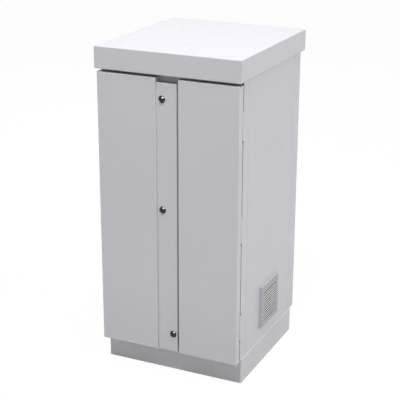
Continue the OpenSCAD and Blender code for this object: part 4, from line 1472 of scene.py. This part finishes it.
@dataclass
class Batteries(Assembly):
    """Two strings of four front-terminal batteries, and their links.

    Attributes:
        size: Width, length and height of one battery.
        lid: Height of the lid.
        pitch: Distance between batteries.
        front: Y of the battery fronts.
        terminal: Distance of the terminals from the middle, and from the front.
        rib: Depth of the ribs on the case.
        rib_foot: Height of the ribs' lower ends.
        bar: Length, width and thickness of a link.
        rise: Height of the links' undersides over the lids.
        bolt_x: Distance of a link's bolts from its middle.
    """

    size: Point = (100.0, 395.0, 270.0)
    lid: float = 45.0
    pitch: float = 105.0
    front: float = -200.0
    terminal: tuple[float, float] = (28.0, 32.0)
    rib: float = 2.4
    rib_foot: float = 18.0
    bar: Point = (69.0, 20.0, 3.0)
    rise: float = 6.0
    bolt_x: float = 24.5

    SHELVES: ClassVar[Mapping[str, float]] = {"lower": 150.0, "upper": 490.0}
    COUNT: ClassVar[int] = 4
    END_RIBS: ClassVar[Sequence[float]] = (-36.0, -12.0, 12.0, 36.0)
    SIDE_RIBS: ClassVar[Sequence[float]] = tuple((i - 4) * 42.0 for i in range(9))
    VENT_PLUGS: ClassVar[Sequence[float]] = tuple(-95.0 + 50.0 * i for i in range(6))
    VENT_PLUG: ClassVar[Profile] = (
        (11.0, -0.5), (11.0, 1.0), (10.4, 1.7), (8.0, 1.7), (7.4, 0.9), (3.0, 0.9), (2.6, 1.5), (0.0, 1.5),
    )
    TERMINAL_RING: ClassVar[Profile] = ((14.0, -0.5), (14.0, 1.2), (13.2, 2.0), (9.0, 2.0))
    TERMINAL_POST: ClassVar[Profile] = ((9.0, 0.0), (9.0, 7.4), (8.4, 8.0), (0.0, 8.0))

    def build(self) -> None:
        """Makes both strings and the links."""
        middle = (self.COUNT - 1) / 2
        links = Forge(COPPER, PLATED)
        for name, z in self.SHELVES.items():
            string = Forge(BATTERY, BATTERY_LID, LEAD, PLUS, MINUS)
            for i in range(self.COUNT):
                self.battery(string, at((i - middle) * self.pitch, self.front + self.size[1] / 2, z))
            string.piece(f"{name}_batteries", Body.CABINET, Slot.BATTERY, [f"battery_string_{name}"])
            for i in range(self.COUNT - 1):
                x = (i + 0.5 - middle) * self.pitch
                self.link(links, at(x, self.front + self.terminal[1], z + self.size[2] + self.rise))
        links.piece("battery_link_bars", Body.CABINET, Slot.COPPER, ["battery_links"])

    def battery(self, forge: Forge, place: Matrix) -> None:
        """Adds one battery.

        Args:
            forge: The string that it goes into.
            place: Middle of its foot.
        """
        width, length, height = self.size
        seam = height - self.lid
        collar, tall, sink = 9.0, seam - 44.0, self.rib / 2
        forge.slab((width - self.rib, length - self.rib, seam), place, 0, 5.0, 2.0)
        forge.slab((width, length, collar), place @ at(0, 0, seam - collar), 0, 6.0, 1.5)
        forge.slab((width, length, 6.0), place, 0, 6.0, 1.5)
        for side in (-1, 1):
            for x in self.END_RIBS:
                spot = place @ at(x, side * (length / 2 - sink), self.rib_foot)
                forge.slab((5.0, self.rib, tall), spot, 0, 1.1, 0.9)
            for y in self.SIDE_RIBS:
                spot = place @ at(side * (width / 2 - sink), y, self.rib_foot)
                forge.slab((self.rib, 6.0, tall), spot, 0, 1.1, 0.9)
        self.cover(forge, place @ at(0, 0, seam))

    def cover(self, forge: Forge, place: Matrix) -> None:
        """Adds a lid with its rim, vent plugs and terminals.

        Args:
            forge: The string that it goes into.
            place: Middle of the lid's foot.
        """
        width, length = self.size[0] - 3.0, self.size[1] - 3.0
        floor = self.lid - 2.0
        levels = [
            (0.6, 0.0), (0.6, 1.2), (0.0, 1.8), (0.0, self.lid - 6.0), (0.8, self.lid - 3.0),
            (3.0, self.lid - 0.8), (6.0, self.lid), (9.0, self.lid), (9.8, self.lid - 0.5), (10.4, floor),
        ]
        rings = [oblong((width - 2 * i, length - 2 * i), max(7.0 - i, 2.5), z) for i, z in levels]
        forge.loft(rings, place, 1)
        for y in self.VENT_PLUGS:
            forge.lathe(self.VENT_PLUG, place @ at(0, y, floor), 0, 32)
        for side, finish in ((-1, 4), (1, 3)):
            spot = place @ at(side * self.terminal[0], self.terminal[1] - self.size[1] / 2, floor)
            forge.lathe(self.TERMINAL_RING, spot, finish)
            forge.lathe(self.TERMINAL_POST, spot, 2)

    def link(self, forge: Forge, place: Matrix) -> None:
        """Adds one link with its two bolts.

        Args:
            forge: The piece that it goes into.
            place: Middle of its underside.
        """
        forge.slab(self.bar, place, 0, 4.0, 0.5)
        for x in (-self.bolt_x, self.bolt_x):
            forge.bolt(place @ at(x, 0, self.bar[2]), 6.2, 3.6, 1)


@dataclass
class Equipment(Assembly):
    """Main breaker, bus bar insulators and bolts on the equipment panel.

    Attributes:
        panel: Y of the panel's face.
        middle: Z of the breaker's middle.
        breaker: Width, height and depth of the breaker.
        opening: Width and height of the toggle's slot.
        drum: Y of the toggle's axis.
        tilt: Turn of the toggle at rest, in degrees.
        bus_x: Distance of the bus bars from the middle.
        bus_t: Thickness of the bus bars.
        stand: Length of the insulators.
    """

    panel: float = 7.5
    middle: float = 950.0
    breaker: Point = (105.0, 150.0, 62.0)
    opening: tuple[float, float] = (26.0, 46.0)
    drum: float = -43.5
    tilt: float = -25.0
    bus_x: float = 135.0
    bus_t: float = 5.0
    stand: float = 28.0

    POLES: ClassVar[Sequence[float]] = (-35.0, 0.0, 35.0)
    GROOVES: ClassVar[Sequence[float]] = (-17.5, 17.5)
    GROOVE_ROWS: ClassVar[Sequence[float]] = (-51.0, 51.0)
    TERMINAL_ROWS: ClassVar[Sequence[float]] = (-62.0, 62.0)
    COVER_SCREWS: ClassVar[Profile] = ((-44.0, -34.0), (-44.0, 34.0), (44.0, -34.0), (44.0, 34.0))
    FRAME: ClassVar[Profile] = ((4.0, -0.2), (4.0, 0.8), (3.4, 1.3), (0.6, 1.3), (0.0, 0.8), (0.0, -0.2))
    TERMINAL: ClassVar[Profile] = ((8.5, -0.3), (8.5, 0.5), (8.0, 0.9), (6.6, 0.9), (6.4, -0.3))
    LEVER: ClassVar[Sequence[Point]] = (
        (12.0, 8.0, 0.0), (12.0, 8.0, 12.0), (11.0, 7.0, 20.0),
        (11.6, 7.6, 27.0), (11.0, 7.0, 29.0), (9.0, 5.0, 30.0),
    )
    LEVER_RIBS: ClassVar[Sequence[float]] = (15.0, 18.0, 21.0, 24.0)
    POSTS: ClassVar[Sequence[float]] = (-55.0, 55.0)
    LUGS: ClassVar[Sequence[float]] = (-28.3, 0.0, 28.3)

    def build(self) -> None:
        """Makes the breaker, its toggle, the insulators and the bolts."""
        self.case()
        self.toggle()
        self.bars()

    def case(self) -> None:
        """Makes the breaker's case, with the slot, pole grooves, terminals and cover screws."""
        width, height, depth = self.breaker
        forge = Forge(BREAKER, PLATED, FAN)
        place = at(0, self.panel, self.middle) @ TO_FRONT
        shape = [(0.6, 0.0), (0.0, 0.6), (0.0, depth - 2.0), (0.6, depth - 0.6), (2.0, depth)]
        rings = [oblong((width - 2 * i, height - 2 * i), 3.0, z) for i, z in shape]
        mouth = (self.opening[0] + 2, self.opening[1] + 2)
        rings += [oblong(mouth, 2.0, depth)]
        rings += [oblong(self.opening, 1.5, z) for z in (depth - 1.0, depth - 23.0)]
        forge.loft(rings, place)
        collar = [oblong((mouth[0] + 2 * i, mouth[1] + 2 * i), 2.0 + i, depth + z) for i, z in self.FRAME]
        forge.loft(collar, place, wrap=True)
        for x in self.GROOVES:
            for y in self.GROOVE_ROWS:
                forge.slab((1.6, 46.0, 0.8), place @ at(x, y, depth - 0.4), 2, 0.6, 0.3)
        for x in self.POLES:
            for y in self.TERMINAL_ROWS:
                forge.lathe(self.TERMINAL, place @ at(x, y, depth), 0, 36, wrap=True)
                forge.screw(place @ at(x, y, depth - 1.6), 5.6, 1)
        for x, y in self.COVER_SCREWS:
            forge.screw(place @ at(x, y, depth - 0.2), 3.4, 1)
        forge.piece("main_breaker_case", Body.CABINET, Slot.BREAKER, ["breaker_body"])

    def toggle(self) -> None:
        """Makes the toggle: drum, trunnions and a ribbed lever."""
        forge = Forge(TOGGLE)
        place = at(0, self.drum, self.middle) @ turn(self.tilt, "X")
        half = self.opening[0] / 2 - 0.3
        near = [(10.0, half - 0.4), (9.6, half), (3.0, half), (3.0, half + 5.0)]
        far = [(radius, -z) for radius, z in reversed(near)]
        forge.lathe([*far, *near], place @ turn(90.0, "Y"))
        lever = place @ TO_FRONT
        forge.loft([oblong((width, thick), 1.8, z) for width, thick, z in self.LEVER], lever)
        for z in self.LEVER_RIBS:
            for side in (-1, 1):
                forge.slab((8.4, 0.8, 1.4), lever @ at(0, side * 3.7, z), 0, 0.35, 0.3)
        forge.piece("main_breaker_toggle", Body.BREAKER_LEVER, Slot.TOGGLE, ["breaker_toggle"])

    def bars(self) -> None:
        """Makes the ribbed insulators and the bolts in the bus bars."""
        posts, bolts = Forge(INSULATOR), Forge(PLATED)
        ribs: list[tuple[float, float]] = [(12.4, 0.0), (13.0, 0.6)]
        for i in range(3):
            z = 3.0 + 8.0 * i
            ribs += [(13.0, z), (10.6, z + 1.6), (10.2, z + 2.6), (10.6, z + 3.6), (12.6, z + 5.4)]
        ribs += [(13.0, self.stand - 1.4), (13.0, self.stand - 0.6), (12.4, self.stand)]
        for side in (-1, 1):
            foot = at(side * self.bus_x, self.panel, self.middle) @ TO_FRONT
            for y in self.POSTS:
                posts.lathe(ribs, foot @ at(0, y, 0))
                bolts.bolt(foot @ at(0, y, self.stand + self.bus_t), 6.2, 4.2)
            for y in self.LUGS:
                bolts.bolt(foot @ at(0, y, self.stand + self.bus_t), 7.0, 4.8)
        posts.piece("bus_bar_posts", Body.CABINET, Slot.INSULATOR, ["bus_insulators"])
        bolts.piece("bus_bar_bolts", Body.CABINET, Slot.ZINC)


@dataclass
class Fixings(Assembly):
    """Cable glands in the floor, and the bolts of the shelf rails.

    Attributes:
        floor: Z of the floor's top.
        gland_y: Y of the glands.
        gland_pitch: Distance between the glands.
        shelves: Z of the shelves' undersides.
        post_x: X of the rails' inner faces.
        bolt_end: Distance of the rails' bolts from their ends.
        bolt_drop: Distance of the rails' bolts below the shelves.
        flute: Depth of the dome nuts' flutes, as a share of the radius.
    """

    floor: float = 102.0
    gland_y: float = 157.0
    gland_pitch: float = 75.0
    shelves: Sequence[float] = (148.0, 488.0, 828.0)
    post_x: float = 242.0
    bolt_end: float = 18.0
    bolt_drop: float = 15.0
    flute: float = 0.035

    NUT: ClassVar[Profile] = ((16.0, 13.0), (16.0, 17.0), (15.4, 19.0), (14.0, 20.0))
    BLIND_PLUG: ClassVar[Profile] = ((10.5, 20.0), (10.0, 18.8), (8.4, 18.8), (7.0, 19.6), (0.05, 20.0))
    NUT_POINTS: ClassVar[int] = 96

    def build(self) -> None:
        """Makes the glands and the bolts."""
        glands = Forge(GLAND)
        for i in (-1, 0, 1):
            self.gland(glands, at(i * self.gland_pitch, self.gland_y, self.floor))
        glands.piece("blind_glands", Body.CABINET, Slot.GLAND, ["cable_glands"])
        self.rail_bolts()

    def gland(self, forge: Forge, place: Matrix) -> None:
        """Adds one gland: thread, hexagon, fluted dome nut and blind plug.

        Args:
            forge: The piece that it goes into.
            place: Its place on the floor.
        """
        thread: list[tuple[float, float]] = [(14.0, -24.0)]
        for i in range(13):
            thread += [(16.0, -23.0 + 1.8 * i), (15.2, -22.1 + 1.8 * i)]
        forge.lathe([*thread, (16.0, 1.6), (16.0, 2.6)], place)
        forge.loft(
            [circle(21.0, 2.0), hexagon(23.0, 2.8), hexagon(23.0, 13.0), circle(20.4, 14.0)], place
        )
        shares = [1 - self.flute * (i // 4 % 2) for i in range(self.NUT_POINTS)]
        rings = []
        for radius, z in self.NUT:
            ring = circle(radius, z, self.NUT_POINTS)
            rings.append([(x * share, y * share, h) for share, (x, y, h) in zip(shares, ring)])
        rings += [circle(radius, z, self.NUT_POINTS) for radius, z in self.BLIND_PLUG]
        forge.loft(rings, place)

    def rail_bolts(self) -> None:
        """Makes the bolts that hold the shelf rails to the posts."""
        low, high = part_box("shelf_rails")
        forge = Forge(PLATED)
        for z in self.shelves:
            for y in (low[1] / MM + self.bolt_end, high[1] / MM - self.bolt_end):
                for flip in (Matrix.Identity(4), MIRROR):
                    forge.bolt(flip @ at(self.post_x, y, z - self.bolt_drop) @ turn(-90.0, "Y"), 6.0, 4.0)
        forge.piece("rail_bolts", Body.CABINET, Slot.ZINC)


class Rays(Enum):
    """What a lamp is for."""

    ALL = "surfaces and reflections"
    SURFACES = "surfaces only"
    REFLECTIONS = "reflections only, as a studio's card"


@dataclass(frozen=True)
class Lamp:
    """One soft lamp.

    Attributes:
        name: Name of the lamp.
        place: Its place in metres.
        aim: The point that it faces.
        size: Width and height of its face.
        watts: Its power.
        rays: What it is for.
    """

    name: str
    place: Point
    aim: Point
    size: tuple[float, float]
    watts: float
    rays: Rays = Rays.ALL

    def hang(self) -> None:
        """Adds the lamp to the scene."""
        data = bpy.data.lights.new(self.name, "AREA")
        data.shape = "RECTANGLE"
        data.size, data.size_y = self.size
        data.energy = self.watts
        obj = bpy.data.objects.new(self.name, data)
        obj.location = self.place
        aim = Vector(self.aim) - Vector(self.place)
        obj.rotation_euler = aim.to_track_quat("-Z", "Y").to_euler()
        obj.visible_diffuse = self.rays is not Rays.REFLECTIONS
        obj.visible_glossy = self.rays is not Rays.SURFACES
        bpy.context.scene.collection.objects.link(obj)


@dataclass(frozen=True)
class Studio:
    """Camera, lamps, pale floor and white surroundings.

    Attributes:
        eye: Place of the camera in metres.
        yaw: Its turn to the left, in degrees.
        pitch: Its tilt down, in degrees.
        roll: Its roll, in degrees.
        lens: Its focal length in millimetres.
        sensor: Width of its sensor in millimetres.
        ambient: Strength of the light from all round.
        floor_tone: Colour of the floor as it lights the cabinet.
        floor_white: Share of plain white in the floor as it shows; the rest keeps the shadow.
        floor_half: Half the width of the floor, in metres.
        lamps: The lamps.
    """

    eye: Point = (1.7313, -3.7446, 2.0723)
    yaw: float = 24.98
    pitch: float = 19.46
    roll: float = 0.17
    lens: float = 100.02
    sensor: float = 36.0
    ambient: float = 0.4
    floor_tone: Colour = (0.49, 0.49, 0.49)
    floor_white: float = 0.95
    floor_half: float = 9.0
    lamps: Sequence[Lamp] = (
        Lamp("overhead", (0.0, -0.2, 3.2), (0.0, 0.0, 1.2), (0.9, 1.6), 13.0),
        Lamp("front_key", (0.9, -3.6, 7.4), (0.0, -0.3, 0.6), (1.0, 1.0), 318.0),
        Lamp("right_fill", (4.2, -0.2, 3.8), (0.3, 0.0, 0.7), (1.4, 1.4), 96.0),
        Lamp("rear_fill", (-2.6, 3.6, 2.8), (0.0, 0.2, 0.7), (2.0, 2.0), 40.0, Rays.SURFACES),
        Lamp("front_card", (1.2, -1.9, 3.7), (0.0, -0.31, 0.8), (2.8, 2.2), 420.0, Rays.REFLECTIONS),
    )

    def build(self) -> None:
        """Sets up the whole studio."""
        self.camera()
        for lamp in self.lamps:
            lamp.hang()
        self.world()
        self.floor()
        bpy.context.scene.view_settings.view_transform = "Standard"

    def camera(self) -> None:
        """Adds the camera at the photograph's viewpoint."""
        data = bpy.data.cameras.new("camera")
        data.sensor_width = self.sensor
        data.lens = self.lens
        obj = bpy.data.objects.new("camera", data)
        aim = turn(self.yaw, "Z") @ turn(90.0 - self.pitch, "X") @ turn(self.roll, "Z")
        obj.matrix_world = Matrix.Translation(self.eye) @ aim
        bpy.context.scene.collection.objects.link(obj)
        bpy.context.scene.camera = obj

    @staticmethod
    def seen(graph: Graph) -> bpy.types.NodeSocket:
        """Adds a mask of the rays that show the surroundings white.

        Args:
            graph: The graph that needs the mask.

        Returns:
            The mask's socket.
        """
        path = graph.add("ShaderNodeLightPath").outputs
        shown = graph.maths("MAXIMUM", path["Is Camera Ray"], path["Is Glossy Ray"])
        return graph.maths("MAXIMUM", shown, path["Is Transmission Ray"])

    def world(self) -> None:
        """Makes the surroundings white to look at, and soft as a light."""
        world = bpy.data.worlds.new("studio")
        world.use_nodes = True
        graph = Graph(world.node_tree)
        back = world.node_tree.nodes["Background"]
        graph.feed(back, "Color", (1.0, 1.0, 1.0))
        graph.feed(back, "Strength", graph.span(self.seen(graph), (0.0, 1.0), (self.ambient, 1.0)))
        bpy.context.scene.world = world

    def floor(self) -> None:
        """Makes a pale floor that keeps a soft shadow."""
        material = bpy.data.materials.new("studio_floor")
        material.use_nodes = True
        graph = Graph(material.node_tree)
        shader = material.node_tree.nodes["Principled BSDF"]
        tone = Cloud.use(graph, Base=self.floor_tone, Shade=self.floor_tone, Scale=1.0, Low=0.7, High=0.8)
        seen = self.seen(graph)
        graph.feed(shader, "Base Color", graph.mix(seen, tone["Colour"], (1.0, 1.0, 1.0)))
        graph.feed(shader, "Roughness", tone["Roughness"])
        glow = graph.add("ShaderNodeEmission", {"Color": (1.0, 1.0, 1.0), "Strength": 1.0})
        share = graph.span(seen, (0.0, 1.0), (0.0, self.floor_white))
        mixed = graph.add("ShaderNodeMixShader", {0: share, 1: shader.outputs[0], 2: glow.outputs[0]})
        graph.feed(material.node_tree.nodes["Material Output"], "Surface", mixed.outputs[0])
        data = bpy.data.meshes.new("studio_floor")
        grid = bmesh.new()
        bmesh.ops.create_grid(grid, x_segments=4, y_segments=4, size=self.floor_half)
        grid.to_mesh(data)
        grid.free()
        data.materials.append(material)
        obj = bpy.data.objects.new("studio_floor", data)
        bpy.context.scene.collection.objects.link(obj)


def main() -> None:
    """Builds the studio and the pieces."""
    logging.basicConfig(level=logging.INFO, format="%(name)s: %(message)s")
    Studio().build()
    assemblies: Sequence[Assembly] = (
        Sheetwork(NODE_FINISHES), Locks(), EdgeBead(), DoorTrim(Body.LEFT_DOOR), DoorTrim(Body.RIGHT_DOOR),
        Vents(), Batteries(), Equipment(), Fixings(),
    )
    for assembly in assemblies:
        assembly.build()


if __name__ == "__main__":
    main()
